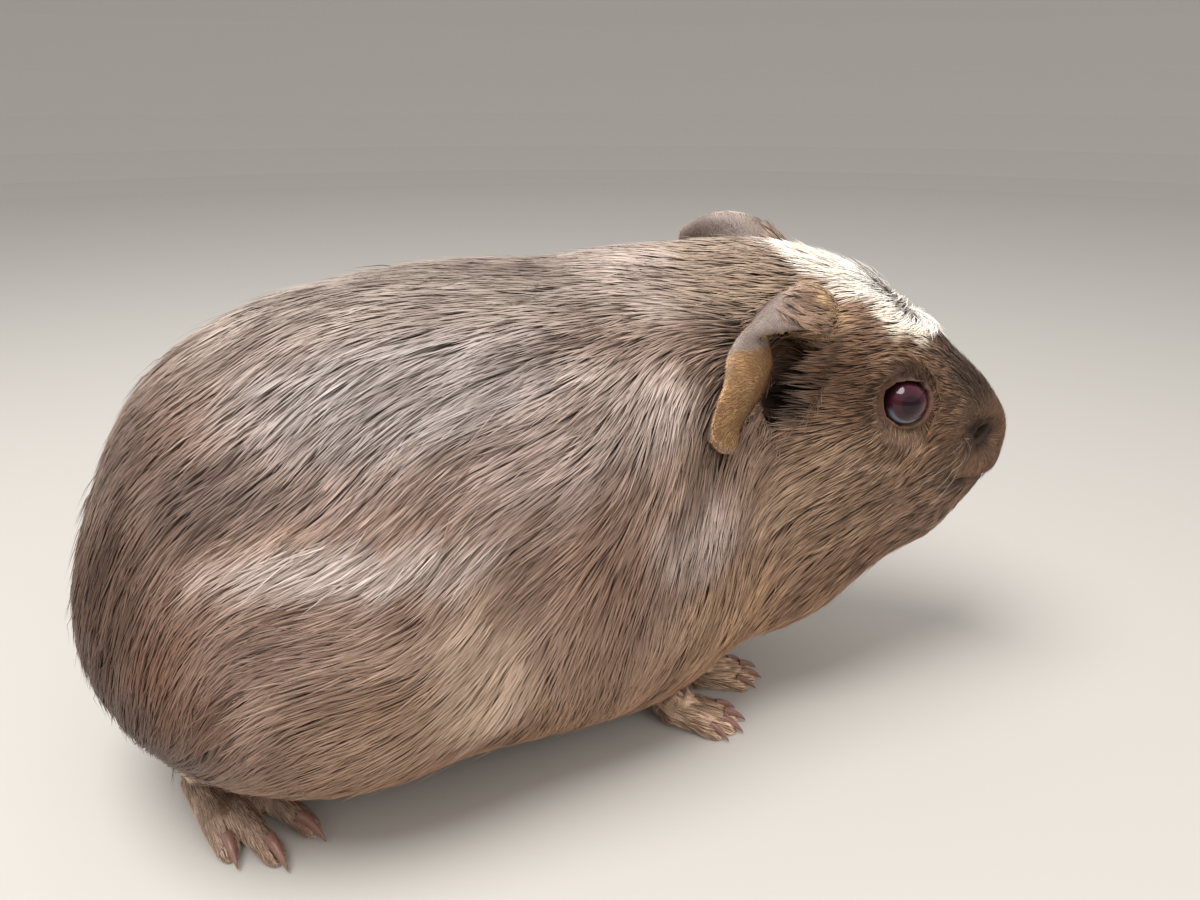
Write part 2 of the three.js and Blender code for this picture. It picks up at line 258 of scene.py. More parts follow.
# %% The body's surface
CUT_CLOSURE = 0.25
BODY_VOXEL = 1.75
SMOOTHING = 60
BODY_NODES = ["head", "neck", "trunk"]
BODY_NODES += [f"{limb}_{side}" for limb in ("thigh", "upper_foreleg") for side in SIDES]

skin = flesh_copy("skin", *BODY_NODES)
apply_modifier(skin, "DISPLACE", strength=CUT_CLOSURE * MM, mid_level=0.0)
apply_modifier(skin, "REMESH", mode="VOXEL", voxel_size=BODY_VOXEL * MM)

# The face keeps its form, so it is smoothed less than the body.
forward = to_head(get_points(skin))[:, 0]
softness = 1 - 0.88 * smoothstep(-25, 20, forward)
group = skin.vertex_groups.new(name="softness")
for index, value in enumerate(softness):
    group.add([index], value, "REPLACE")
apply_modifier(skin, "SMOOTH", factor=0.5, iterations=SMOOTHING, vertex_group="softness")
skin.vertex_groups.clear()
outer_skin = BVHTree.FromObject(skin, bpy.context.evaluated_depsgraph_get())
print("body", len(skin.data.polygons), "faces")

# %% [markdown]
# ## Ears and feet
#
# An ear is a sheet barely thicker than card, and a toe is a few millimetres across, so they are remeshed
# much finer than the body. Their roots stop at the coat's surface in the solid model. They are drawn on
# inwards, through the depth of the coat, until they reach the skin that they grow from.

# %% Fine copies of the ears and feet
FINE_VOXEL = 0.65
EAR_SWELL = 0.32
ROOT_REACH = 5.5
EAR_CORNER = (-6, 30, 8)  # the back corner of the ear's fold, in the head's frame
EAR_BACK = -11  # the back edge of the ear's flap


def draw_root_inwards(piece):
    points = get_points(piece)
    for index, point in enumerate(points):
        place, normal, _, _ = outer_skin.find_nearest(Vector(point) * MM)
        away = (Vector(point) * MM - place).dot(normal) / MM
        pull = 1 - smoothstep(0.5, 2.2, away)
        points[index] -= np.array(normal) * ROOT_REACH * pull
    set_points(piece, points)


ears = flesh_copy("ears", "ear_left", "ear_right")
with editing():
    bpy.ops.mesh.tris_convert_to_quads(face_threshold=0.9, shape_threshold=0.9)
apply_modifier(ears, "SUBSURF", levels=1, render_levels=1)
# The corner of the fold hangs back over the opening's edge, and the front of the arch sinks into the coat.
points = get_points(ears)
face = to_head(points)
mirror = mirror_of(face)
corner = hump(np.linalg.norm(face * mirror - EAR_CORNER, axis=1), 8)
sunk = smoothstep(8.5, 15, face[:, 0])
face += mirror * (np.outer(corner, (-1.0, 0.4, -0.4)) - np.outer(sunk, (0.5, 2.0, 1.5)))
# Below the fold the flap narrows to a band, gathered towards its back edge, and ends in a round lobe.
tip = smoothstep(-6, -18, face[:, 2])
band = smoothstep(6, -14, face[:, 2]) * smoothstep(20, 29, np.abs(face[:, 1])) * (1 - 0.55 * tip)
face[:, 0] -= band * (0.3 * (face[:, 0] - EAR_BACK) + 1.0)
face[:, 2] += band * tip * 3.0
set_points(ears, from_head(face))
# The flap is swollen a little, so that the remesh leaves no hole where it folds thinnest.
apply_modifier(ears, "DISPLACE", strength=EAR_SWELL * MM, mid_level=0.0)
feet = flesh_copy("feet", *[f"{limb}foot_{side}" for limb in ("hind", "fore") for side in SIDES])
for piece, rounds in ((ears, 8), (feet, 6)):
    apply_modifier(piece, "REMESH", mode="VOXEL", voxel_size=FINE_VOXEL * MM)
    apply_modifier(piece, "SMOOTH", factor=0.5, iterations=rounds)
    draw_root_inwards(piece)
    print(piece.name, len(piece.data.polygons), "faces")

# %% Let the skin down under the coat and grow the ears and feet from it
skin_finish = bpy.data.materials.new("thin skin under a guinea pig coat")
ear_finish = bpy.data.materials.new("velvety ear skin")
foot_finish = bpy.data.materials.new("short-haired foot skin")

points = get_points(skin)
_, _, coat_depth = read_chart(points)
set_points(skin, points - get_normals(skin) * coat_depth[:, None])
for piece, material in ((skin, skin_finish), (ears, ear_finish), (feet, foot_finish)):
    piece.data.materials.append(material)
for piece in (ears, feet):
    apply_modifier(
        skin, "BOOLEAN", operation="UNION", object=piece, solver="MANIFOLD", material_mode="TRANSFER")
    bpy.data.objects.remove(piece)
print("one skin of", len(skin.data.polygons), "faces and", len(skin.data.materials), "materials")

# %% [markdown]
# ## Lids, nostrils and lips
#
# The even grid is too coarse for a face. It is divided again round the eyes and over the muzzle, and the
# fine surface is then moved as a sculptor would: the lids are drawn up to the eyeball and rolled over its
# edge, the nostrils are pressed in, and the cleft of the lip and the mouth are drawn as grooves.

# %% Divide the face more finely
EYE_LOOKS = np.array((0.03, 1.0, 0.13))
EYE_REGION = 10.5
MUZZLE_START = 51


def divide_near(piece, wanted, cuts):
    mesh = bmesh.new()
    mesh.from_mesh(piece.data)
    places = np.array([face.calc_center_median() for face in mesh.faces]) / MM
    chosen = wanted(places)
    edges = {edge for face, hit in zip(mesh.faces, chosen) if hit for edge in face.edges}
    bmesh.ops.subdivide_edges(mesh, edges=list(edges), cuts=cuts, use_grid_fill=True)
    mesh.to_mesh(piece.data)
    mesh.free()


def eye_frame(side):
    """The eyeball's own axes: towards the nose, up, and out of the head."""
    out = head_axes @ (EYE_LOOKS * (1, SIDES[side], 1))
    out /= np.linalg.norm(out)
    up = head_axes[:, 2] - out * (head_axes[:, 2] @ out)
    up /= np.linalg.norm(up)
    ahead = np.cross(up, out) * SIDES[side]
    if ahead @ head_axes[:, 0] < 0:
        ahead = -ahead
    return np.stack((ahead, up, out), axis=1)


def in_eye(side, points):
    return (points - eye_centre[side]) @ eye_frame(side)


def near_an_eye(places):
    hit = np.zeros(len(places), bool)
    for side in SIDES:
        seen = in_eye(side, places)
        hit |= (np.hypot(seen[:, 0], seen[:, 1]) < EYE_REGION) & (seen[:, 2] > -3)
    return hit


divide_near(skin, near_an_eye, cuts=3)
divide_near(skin, lambda places: to_head(places)[:, 0] > MUZZLE_START, cuts=2)
print("divided to", len(skin.data.polygons), "faces")

# %% The eyelids
EYE_RADIUS = (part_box("eye_left")[1].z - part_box("eye_left")[0].z) / MM / 2
LID_HALF_LONG = 5.35
LID_HALF_HIGH = 4.9
LID_ROLL = 1.5
LID_HEIGHT = 0.45
LID_PROUD = 0.25  # how far the lid's edge stands off the eyeball
LID_SNAP = 0.22  # points as near as this to the lid's edge are moved onto it
BEHIND_LID = 0.35  # how far under the eyeball's surface the skin runs on behind the lid
SOCKET_DEPTH = 1.1
FOLD_ABOVE, FOLD_BELOW = 2.5, 2.3  # how far outside the lid's edge the two folds run
HEAD_RING = (7.6, 10.4)  # where, round the eye, the head's own surface is read


def lid_edge(angle):
    """How far the lid's edge is from the middle of the eye: drawn out at the two corners."""
    front = np.exp(-(((angle + 0.45 + np.pi) % (2 * np.pi) - np.pi) ** 2) / 0.12)
    back = np.exp(-(((angle - 2.85 + np.pi) % (2 * np.pi) - np.pi) ** 2) / 0.15)
    opening = 1 / np.hypot(np.cos(angle) / LID_HALF_LONG, np.sin(angle) / LID_HALF_HIGH)
    return opening + 0.2 * front + 0.35 * back


def shape_lids(points, side):
    axes = eye_frame(side)
    seen = in_eye(side, points)
    reach = np.hypot(seen[:, 0], seen[:, 1])
    ring = (reach > HEAD_RING[0]) & (reach < HEAD_RING[1]) & (seen[:, 2] > -3)
    # The head's own surface, carried on smoothly across the eye.
    terms = lambda s: np.stack((np.ones(len(s)), s[:, 0], s[:, 1], s[:, 0] ** 2, s[:, 1] ** 2), axis=1)
    slope, *_ = np.linalg.lstsq(terms(seen[ring]), seen[ring, 2], rcond=None)
    near = (reach < EYE_REGION) & (seen[:, 2] > -4)
    local, r = seen[near], reach[near]
    angle = np.arctan2(local[:, 1], local[:, 0])
    edge = lid_edge(angle)
    # The ring of points nearest to the lid's edge is moved onto it, so that the edge is crisp.
    snapped = np.where(np.abs(r - edge) < LID_SNAP, edge + 0.01, r)
    local[:, :2] *= (snapped / np.maximum(r, 1e-6))[:, None]
    r = snapped
    ball = np.sqrt(np.maximum(EYE_RADIUS**2 - np.minimum(r, EYE_RADIUS - 0.3) ** 2, 0))
    at_edge = np.sqrt(EYE_RADIUS**2 - edge**2)
    under = ball - BEHIND_LID - SOCKET_DEPTH * smoothstep(0, 1.4, edge - r)
    roll = np.sin(np.clip((r - edge) / LID_ROLL, 0, 1) * np.pi) * LID_HEIGHT
    head = terms(local) @ slope
    settled = smoothstep(LID_ROLL * 0.6, 3.6, r - edge)
    outside = at_edge + LID_PROUD + (head - at_edge - LID_PROUD) * settled + roll
    # A fold above the upper lid, and a deeper one below and behind the lower lid.
    above = hump(r - edge - FOLD_ABOVE, 0.5) * smoothstep(0.2, 0.8, np.sin(angle))
    below = hump(r - edge - FOLD_BELOW, 0.55) * smoothstep(0.1, 0.7, -np.sin(angle + 0.5))
    outside = outside - 0.3 * above - 0.5 * below
    lid = np.where(r < edge, under, outside)
    blend = smoothstep(EYE_REGION - 1.8, EYE_REGION - 0.4, r)
    local[:, 2] = lid * (1 - blend) + local[:, 2] * blend
    points[near] = local @ axes.T + eye_centre[side]


points = get_points(skin)
for side in SIDES:
    shape_lids(points, side)
set_points(skin, points)
print("eyeball radius", round(EYE_RADIUS, 2))

# %% The nostrils, the cleft lip and the mouth
NOSTRIL = (64.0, -4.2)  # ahead of the poll and up, on the side of the nose
NOSTRIL_HALF = (1.0, 2.0)
NOSTRIL_LEAN = math.radians(-30)
NOSTRIL_DEPTH = 2.2
NOSE_PINCH = 0.4
LIP_MIDDLE = -15.0  # the mouth's height under the nose; it dips by LIP_DIP to each corner
LIP_DIP = 1.5
MOUTH_HALF = 12.5
MOUTH_DEPTH = 1.6

# The nose is pinched in at both sides, where the nostrils open, between the bridge and the whisker pads.
points = get_points(skin)
face = to_head(points)
pinch = NOSE_PINCH * hump(face[:, 2] - NOSTRIL[1], 5.5) * smoothstep(54, 63, face[:, 0])
face[:, 1] *= 1 - pinch
set_points(skin, from_head(face))

points = get_points(skin)
normals = get_normals(skin)
face = to_head(points)
x, y, z = face[:, 0], np.abs(face[:, 1]), face[:, 2]
front = smoothstep(53, 57, x)

ahead, up = x - NOSTRIL[0], z - NOSTRIL[1]
turned = ahead * math.cos(NOSTRIL_LEAN) + up * math.sin(NOSTRIL_LEAN)
along = up * math.cos(NOSTRIL_LEAN) - ahead * math.sin(NOSTRIL_LEAN)
pit = np.hypot(turned / NOSTRIL_HALF[0], along / NOSTRIL_HALF[1])
wing = np.hypot(turned - 0.5, along / 1.5) - 3.0
at_side = smoothstep(2.5, 4.5, y)
move = -NOSTRIL_DEPTH * (1 - smoothstep(0.4, 1.25, pit)) * at_side
move += 0.35 * hump(pit - 1.7, 0.45) * at_side
move -= 0.35 * hump(wing, 0.6) * at_side * smoothstep(-1, 1, -turned)

cleft = smoothstep(-16.5, -14.5, z) * (1 - smoothstep(-7.5, -5.5, z))
move -= hump(y, 0.55) * cleft * front
lip = LIP_MIDDLE - LIP_DIP * np.clip(y / MOUTH_HALF, 0, 1) ** 2
beyond = smoothstep(MOUTH_HALF - 1, MOUTH_HALF + 1, y)
move -= MOUTH_DEPTH * hump(z - lip, 0.65) * (1 - beyond) * front
# The two halves of the upper lip swell a little beside the cleft.
move += 0.5 * np.exp(-(((y - 3.2) / 2.2) ** 2) - ((z + 12.5) / 2.3) ** 2) * front
set_points(skin, points + normals * move[:, None])
select_only(skin)
bpy.ops.object.shade_smooth()
bare_skin = BVHTree.FromObject(skin, bpy.context.evaluated_depsgraph_get())
print("muzzle reaches", round(float(face[:, 0].max()), 1), "mm ahead of the poll")

# %% [markdown]
# ## Colour and finish helpers
#
# Colours are written as a painter's hex codes, which are display values, and Blender wants linear light, so
# one function turns them over. One more adds a node with its settings and its links, and every material
# below is built with it.

# %% Helpers for materials
def linear(code):
    parts = [int(code[i:i + 2], 16) / 255 for i in (1, 3, 5)]
    return (*[c / 12.92 if c <= 0.04045 else ((c + 0.055) / 1.055) ** 2.4 for c in parts], 1.0)


def add_node(tree, kind, inputs=None, **settings):
    node = tree.nodes.new(kind)
    for name, value in settings.items():
        setattr(node, name, value)
    for key, value in (inputs or {}).items():
        if isinstance(value, bpy.types.NodeSocket):
            tree.links.new(value, node.inputs[key])
        else:
            node.inputs[key].default_value = value
    return node


def start_material(material, values):
    """Empties a material and gives back its node tree and its principled shader, with these values set."""
    material.use_nodes = True
    tree = material.node_tree
    tree.nodes.clear()
    shader = add_node(tree, "ShaderNodeBsdfPrincipled", values)
    add_node(tree, "ShaderNodeOutputMaterial", {"Surface": shader.outputs["BSDF"]})
    return tree, shader


def trait_of(tree, name, output="Fac"):
    return add_node(tree, "ShaderNodeAttribute", attribute_name=name).outputs[output]


def object_place(tree):
    return add_node(tree, "ShaderNodeTexCoord").outputs["Object"]


def maths(tree, operation, *values, clamp=False):
    node = add_node(tree, "ShaderNodeMath", dict(enumerate(values)), operation=operation, use_clamp=clamp)
    return node.outputs[0]


def mixed(tree, share, first, second, blend="MIX"):
    pair = {0: share, 6: first, 7: second}
    return add_node(tree, "ShaderNodeMix", pair, data_type="RGBA", blend_type=blend).outputs[2]


# %% [markdown]
# ## The markings, with painted sheen and shade
#
# The animal is a soft lilac brown with a silvery back, warm tan low on its flanks, and a cream crest on a
# darker face. The markings are soft-edged patches, each an ellipsoid in the body's or the head's frame.
# Skin and coat both read them from here, so that they always agree. Some patches are painted light:
# silvery sheen on the upper side, the shoulder and the top of the thigh, and painted shade in the fold
# above the thigh, low on the back of the thigh, under the ear and in the ear's opening.

# %% The patches
GROUND_COLOUR = "#9c8271"
SOFT, CRISP = 0.4, 0.75  # how far out each patch begins to fade, as a share of its size
FADED = 1.1  # where it is gone
RAGGED_SCALE = 140.0
RAGGED_BY = 0.012  # how far the edges of the patches wander
MARKINGS_AND_PAINTED_LIGHT = [
    # frame, centre, half size, colour, strength, edge
    ("body", (-20, 0, 118), (110, 48, 32), "#94887e", 0.9, SOFT),
    ("body", (-8, 30, 6), (125, 60, 42), "#a17d60", 0.85, SOFT),
    ("body", (-108, 30, 48), (40, 50, 62), "#4e3424", 0.97, SOFT),
    # painted shade low on the back of the thigh
    ("body", (-86, 44, 50), (13, 14, 22), "#6b4a35", 0.7, SOFT),
    ("body", (-97, 0, 92), (25, 36, 24), "#76645a", 0.8, SOFT),
    # painted sheen: silvery where the upper side catches the light
    ("body", (-38, 32, 98), (46, 18, 16), "#958d89", 0.85, SOFT),
    ("body", (-80, 35, 85), (20, 15, 12), "#5f4c42", 0.85, SOFT),
    # painted shade in the fold between the thigh and the flank
    ("body", (-55, 40, 84), (32, 14, 5), "#74635a", 0.7, SOFT),
    # painted sheen along the top of the thigh
    ("body", (-52, 46, 71), (36, 14, 8), "#bdafa7", 0.9, SOFT),
    ("body", (-68, 48, 56), (22, 14, 9), "#7c6456", 0.85, SOFT),
    ("body", (-48, 52, 38), (22, 14, 14), "#b5977f", 0.9, SOFT),
    ("body", (-31, 50, 44), (13, 12, 24), "#cdb59f", 0.85, SOFT),
    ("body", (-6, 46, 52), (13, 12, 30), "#90725f", 0.8, SOFT),
    ("body", (-16, 42, 84), (22, 14, 14), "#9a8880", 0.8, SOFT),
    # painted sheen on the shoulder
    ("body", (6, 36, 91), (24, 16, 13), "#b4a49a", 0.85, SOFT),
    ("body", (22, 38, 62), (20, 14, 13), "#b5a39a", 0.9, SOFT),
    # painted shadow under the ear, on the side of the neck
    ("body", (20, 34, 81), (10, 10, 7), "#7f6a58", 0.8, SOFT),
    ("body", (28, 36, 38), (22, 16, 16), "#ac8f73", 0.8, SOFT),
    ("body", (16, 14, 113), (18, 22, 10), "#b5a59a", 0.85, SOFT),
    ("body", (-10, 6, 116), (15, 14, 8), "#8a796f", 0.75, SOFT),
    ("body", (38, 14, 112), (20, 24, 14), "#a18e7b", 0.85, SOFT),
    ("head", (40, 0, -2), (44, 40, 26), "#87694f", 0.85, SOFT),
    ("head", (28, 26, -22), (30, 20, 20), "#988371", 0.8, SOFT),
    ("head", (20, 21, 3), (13, 10, 12), "#614632", 0.8, SOFT),
    ("head", (38, 17, 9), (10, 8, 4), "#5a4432", 0.8, SOFT),
    ("head", (55, 0, 10), (19, 18, 13), "#4f3621", 0.95, SOFT),
    ("head", (66, 0, -8), (13, 20, 18), "#765944", 0.85, SOFT),
    ("head", (44, 17, -9), (8, 7, 4), "#b89c86", 0.75, SOFT),
    ("head", (30, 0, -42), (40, 30, 18), "#8d694c", 0.7, SOFT),
    ("head", (18, 0, 26), (21, 14, 13.5), "#fffdf8", 1.0, CRISP),
    ("head", (32.5, 8, 17), (10, 9.5, 7.5), "#fffcf6", 1.0, CRISP),
    ("head", (31.5, 2, 20), (2.2, 3.5, 4.5), "#6b5648", 0.8, CRISP),
    ("head", (46, 0, 15), (6, 9, 6), "#574332", 0.85, CRISP),
    ("head", (11, 21, 19), (8, 8, 7), "#d0b48e", 0.9, SOFT),
    # painted shade: the ear's opening is near black, as shade falls in its depth
    ("head", (10, 18, -5), (9, 10, 10), "#1c1411", 0.95, SOFT),
    ("head", (4, 15, 8), (8, 8, 5), "#8f6c4b", 0.85, SOFT),
    ("head", (36.5, 16.5, -0.3), (8, 8, 7.3), "#9a7263", 0.9, CRISP),
    ("head", (63.5, 7, -4.5), (3.0, 4.5, 3.4), "#2e201a", 0.85, SOFT),
    ("head", (60.5, 12, -9), (3, 3, 2.5), "#43321f", 0.7, SOFT),
    ("head", (60, 12.5, -16.5), (4, 4, 3), "#33241c", 0.85, SOFT),
]


def coat_colour_and_painted_light(tree, place):
    """The colour of the coat at each place of the body, with the painted sheen and shade of some patches."""
    ragged = add_node(tree, "ShaderNodeTexNoise", {"Vector": place, "Scale": RAGGED_SCALE, "Detail": 2.0})
    centred = add_node(tree, "ShaderNodeVectorMath", {0: ragged.outputs["Color"], 1: (0.5, 0.5, 0.5)},
                       operation="SUBTRACT").outputs[0]
    shift = add_node(tree, "ShaderNodeVectorMath", {0: centred, "Scale": RAGGED_BY},
                     operation="SCALE").outputs[0]
    moved = add_node(tree, "ShaderNodeVectorMath", {0: place, 1: shift}, operation="ADD").outputs[0]
    in_head = add_node(tree, "ShaderNodeMapping", {
        "Vector": moved, "Location": tuple(head_origin * MM), "Rotation": (0.0, HEAD_DIP, -HEAD_TURN),
    }, vector_type="TEXTURE").outputs[0]
    folded = {}
    for name, vector in (("body", moved), ("head", in_head)):
        split = add_node(tree, "ShaderNodeSeparateXYZ", {0: vector})
        width = maths(tree, "ABSOLUTE", split.outputs["Y"])
        folded[name] = add_node(tree, "ShaderNodeCombineXYZ", {
            "X": split.outputs["X"], "Y": width, "Z": split.outputs["Z"]}).outputs[0]
    colour = linear(GROUND_COLOUR)
    for name, centre, half, code, strength, edge in MARKINGS_AND_PAINTED_LIGHT:
        local = add_node(tree, "ShaderNodeMapping", {
            "Vector": folded[name], "Location": tuple(v * MM for v in centre),
            "Scale": tuple(v * MM for v in half)}, vector_type="TEXTURE").outputs[0]
        reach = add_node(tree, "ShaderNodeVectorMath", {0: local}, operation="LENGTH").outputs["Value"]
        share = add_node(tree, "ShaderNodeMapRange", {
            "Value": reach, "From Min": edge, "From Max": FADED, "To Min": strength, "To Max": 0.0},
            interpolation_type="SMOOTHSTEP").outputs[0]
        colour = mixed(tree, share, colour, linear(code))
    return colour


# %% Skin under the coat, on the ears and on the feet
def finish_skin(material, roughness, grain_size, tint, share):
    """Fine living skin: dull, darkened between the hairs, and faintly rough. Ears and feet have a tint."""
    tree, shader = start_material(material, {"Roughness": roughness})
    place = object_place(tree)
    grain = add_node(tree, "ShaderNodeTexNoise", {
        "Vector": place, "Scale": 1 / (grain_size * MM), "Detail": 4.0})
    colour = mixed(tree, share, coat_colour_and_painted_light(tree, place), linear(tint))
    if material == ear_finish:
        colour = mixed(tree, trait_of(tree, "ear_in"), colour, linear("#a9845a"))
    mottled = mixed(tree, grain.outputs["Fac"], linear("#857a73"), linear("#d8cfc8"))
    colour = mixed(tree, 1.0, colour, mottled, blend="MULTIPLY")
    tree.links.new(colour, shader.inputs["Base Color"])
    bump = add_node(tree, "ShaderNodeBump", {
        "Height": grain.outputs["Fac"], "Strength": 0.5, "Distance": 0.3 * grain_size * MM})
    tree.links.new(bump.outputs[0], shader.inputs["Normal"])


finish_skin(skin_finish, 0.75, 1.1, "#8a6f5f", 0.1)
finish_skin(ear_finish, 0.5, 0.5, "#a89d9b", 0.92)
# The feet's pale tint is partly their own colour and partly painted light, lifting them out of the body's
# shade.
finish_skin(foot_finish, 0.6, 0.6, "#ba9883", 0.85)

# %% [markdown]
# ## Eyes
#
# A guinea pig's eye is a wet ball, dark plum with a ruby glow, nearly all iris and pupil, and the lids
# cover its white. A sphere with its pole turned outwards gives clean rings round the pupil.

# %% Eyeballs
CORNEA_HALF = 4.6
CORNEA_RISE = 0.35
REFLECTION_LINE = 4.55  # how far out from the pupil's middle the painted reflection of the sky lies


def model_eye(side):
    low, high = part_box(f"eye_{side}")
    axes = eye_frame(side)
    turn = Vector(axes[:, 2]).to_track_quat("Z", "Y").to_euler()
    bpy.ops.object.select_all(action="DESELECT")
    bpy.ops.mesh.primitive_uv_sphere_add(
        segments=48, ring_count=32, radius=EYE_RADIUS * MM, location=(low + high) / 2, rotation=turn)
    eye = bpy.context.active_object
    eye.name = f"eyeball_{side}"
    bpy.ops.object.transform_apply(location=True, rotation=True, scale=True)
    bpy.ops.object.shade_smooth()
    seen = in_eye(side, get_points(eye))
    # The cornea stands a little proud of the ball.
    reach = np.hypot(seen[:, 0], seen[:, 1])
    cornea = 1 - smoothstep(0, CORNEA_HALF, reach)
    seen[:, 2] += CORNEA_RISE * cornea * (seen[:, 2] > 0)
    set_points(eye, seen @ axes.T + eye_centre[side])
    write_trait(eye.data, "ring", reach / EYE_RADIUS + (seen[:, 2] < 0))
    # A painted reflection of the sky: a pale blue crescent along the lower lid.
    low = smoothstep(0.35, 0.9, -seen[:, 1] / np.maximum(reach, 0.1))
    write_trait(eye.data, "sky_reflection", hump(reach - REFLECTION_LINE, 0.42) * low)
    return eye


eyes = {side: model_eye(side) for side in SIDES}


# %% The wet eye
def finish_eyes():
    """A wet cornea over a dark iris: a near-mirror clear coat on a deep plum ball, with a painted reflection
    of the sky along the lower lid.
    """
    material = bpy.data.materials.new("wet plum-dark eye")
    tree, shader = start_material(material, {
        "Roughness": 0.12, "IOR": 1.2, "Coat Weight": 1.0, "Coat Roughness": 0.02, "Coat IOR": 1.34})
    ramp = add_node(tree, "ShaderNodeValToRGB", {"Fac": trait_of(tree, "ring")})
    stops = ((0.0, "#1a0910"), (0.34, "#200b13"), (0.44, "#381520"), (0.7, "#401925"), (0.84, "#180a0d"))
    while len(ramp.color_ramp.elements) < len(stops):
        ramp.color_ramp.elements.new(0.5)
    for element, (position, code) in zip(ramp.color_ramp.elements, stops):
        element.position = position
        element.color = linear(code)
    sky_reflection = maths(tree, "MULTIPLY", trait_of(tree, "sky_reflection"), 0.6)
    # The iris is mixed towards pale blue along the lower lid: a painted reflection of the sky.
    wet = mixed(tree, sky_reflection, ramp.outputs["Color"], linear("#a9bccd"))
    tree.links.new(wet, shader.inputs["Base Color"])
    return material


eye_finish = finish_eyes()
for side, eye in eyes.items():
    eye.data.materials.append(eye_finish)
print("eyes made, each", len(eyes["left"].data.polygons), "faces")

# %% [markdown]
# ## The coat
#
# Fur is thousands of hairs that lean on each other. Here each tuft is a thin closed sliver with a keel,
# like a blade of grass, rooted in the skin. It follows the skin's curve in one to three steps, in the
# direction that the chart gives, and rises to the depth of the coat. Neighbours lean together into locks,
# and the locks are what the eye reads as a coat: pale tips over dark gaps. The slivers are worked out
# together as arrays, because a hundred thousand of them are too many to model one by one.

# %% Unwrap the skin
select_only(skin)
with editing(select=True):
    bpy.ops.uv.smart_project(angle_limit=math.radians(66), island_margin=0.002)
print("skin unwrapped")

# %% Where the crest is
WHORL = (33.0, 0.0, 19.0)  # the middle of the crest, in the head's frame
CREST_REACH = {"back": 17.0, "front": 8.0, "side": 10.0, "down": 13.0}
CREST_LONGER = 4.5
CREST_HIGHER, CREST_HIGHER_BEHIND = 0.7, 1.5
CREST_FINER = 0.2


def crest_share(points):
    """How far a place belongs to the crest, from 1 at the whorl to 0 beyond it."""
    x, y, z = (to_head(points) - WHORL).T
    x = x / np.where(x < 0, CREST_REACH["back"], CREST_REACH["front"])
    return np.exp(-(x**2) - (y / CREST_REACH["side"]) ** 2 - (z / CREST_REACH["down"]) ** 2)


# %% Scatter the roots
rng = np.random.default_rng(7)
QUICK_SHARE = 1.0
BODY, EAR, FOOT = 0, 1, 2
EAR_DENSITY, FOOT_DENSITY = 8.0, 5.5  # tufts on each square millimetre
SOLE_HEIGHT = 2.6
EAR_HOLLOW = (6.0, 22.0, 0.0)  # the middle of the ear's opening, in the head's frame
EAR_HOLLOW_HALF = (7.5, 11.0, 11.0)


def unit(vectors):
    return vectors / np.maximum(np.linalg.norm(vectors, axis=-1, keepdims=True), 1e-9)


def bare_places(points, normals, part):
    """Where no hair grows: lids, nostrils, lips, soles and the depth of the ears."""
    bare = (points[:, 2] < SOLE_HEIGHT) & (normals[:, 2] < -0.4)
    for side in SIDES:
        seen = in_eye(side, points)
        angle = np.arctan2(seen[:, 1], seen[:, 0])
        at_back, at_bottom = smoothstep(0.3, 0.9, np.cos(angle - 3.0)), smoothstep(0.3, 1, -np.sin(angle))
        margin = 0.35 + 1.2 * at_back + 0.4 * at_bottom
        bare |= (np.hypot(seen[:, 0], seen[:, 1]) < lid_edge(angle) + margin) & (seen[:, 2] > -3)
    face = to_head(points)
    folded = face * mirror_of(face)
    x, y, z = folded.T
    pit = np.hypot(x - NOSTRIL[0], (z - NOSTRIL[1]) / 1.8)
    bare |= (pit < 1.1) & (y > 2.5) & (x > 55)
    from_lip = z - LIP_MIDDLE + LIP_DIP * (y / MOUTH_HALF) ** 2
    bare |= (np.abs(from_lip) < 0.8) & (y < MOUTH_HALF) & (x > 55)
    hollow = np.linalg.norm((folded - EAR_HOLLOW) / EAR_HOLLOW_HALF, axis=1)
    bare |= (hollow < 0.85) & (part == BODY)
    return bare


def scatter_roots():
    """Roots spread over the skin, closer together where the hair is short."""
    mesh = skin.data
    mesh.calc_loop_triangles()
    total = len(mesh.loop_triangles)
    corners = read_all(mesh.loop_triangles, "vertices", 3)
    loops = read_all(mesh.loop_triangles, "loops", 3)
    part = read_all(mesh.polygons, "material_index")[read_all(mesh.loop_triangles, "polygon_index")]
    unwrapped = read_all(mesh.uv_layers.active.data, "uv", 2, float)
    normals = get_normals(skin)
    tri = get_points(skin)[corners]
    area = np.linalg.norm(np.cross(tri[:, 1] - tri[:, 0], tri[:, 2] - tri[:, 0]), axis=1) / 2
    _, length, _ = read_chart(tri.mean(1))
    on_body = np.clip(19.5 / length, 1.5, 6.0)
    density = np.choose(part, (on_body, np.full(total, EAR_DENSITY), np.full(total, FOOT_DENSITY)))
    density = density * (1 + crest_share(tri.mean(1)))
    count = np.floor(area * density * QUICK_SHARE + rng.random(total)).astype(int)
    pick = np.repeat(np.arange(total), count)
    rng.shuffle(pick)
    share = rng.dirichlet((1, 1, 1), len(pick))[:, :, None]
    roots = {
        "at": (tri[pick] * share).sum(1),
        "normal": unit((normals[corners[pick]] * share).sum(1)),
        "unwrap": (unwrapped[loops[pick]] * share).sum(1),
        "part": part[pick],
    }
    keep = ~bare_places(roots["at"], roots["normal"], roots["part"])
    return {name: values[keep] for name, values in roots.items()}


roots = scatter_roots()
print(len(roots["at"]), "roots:", np.bincount(roots["part"]))

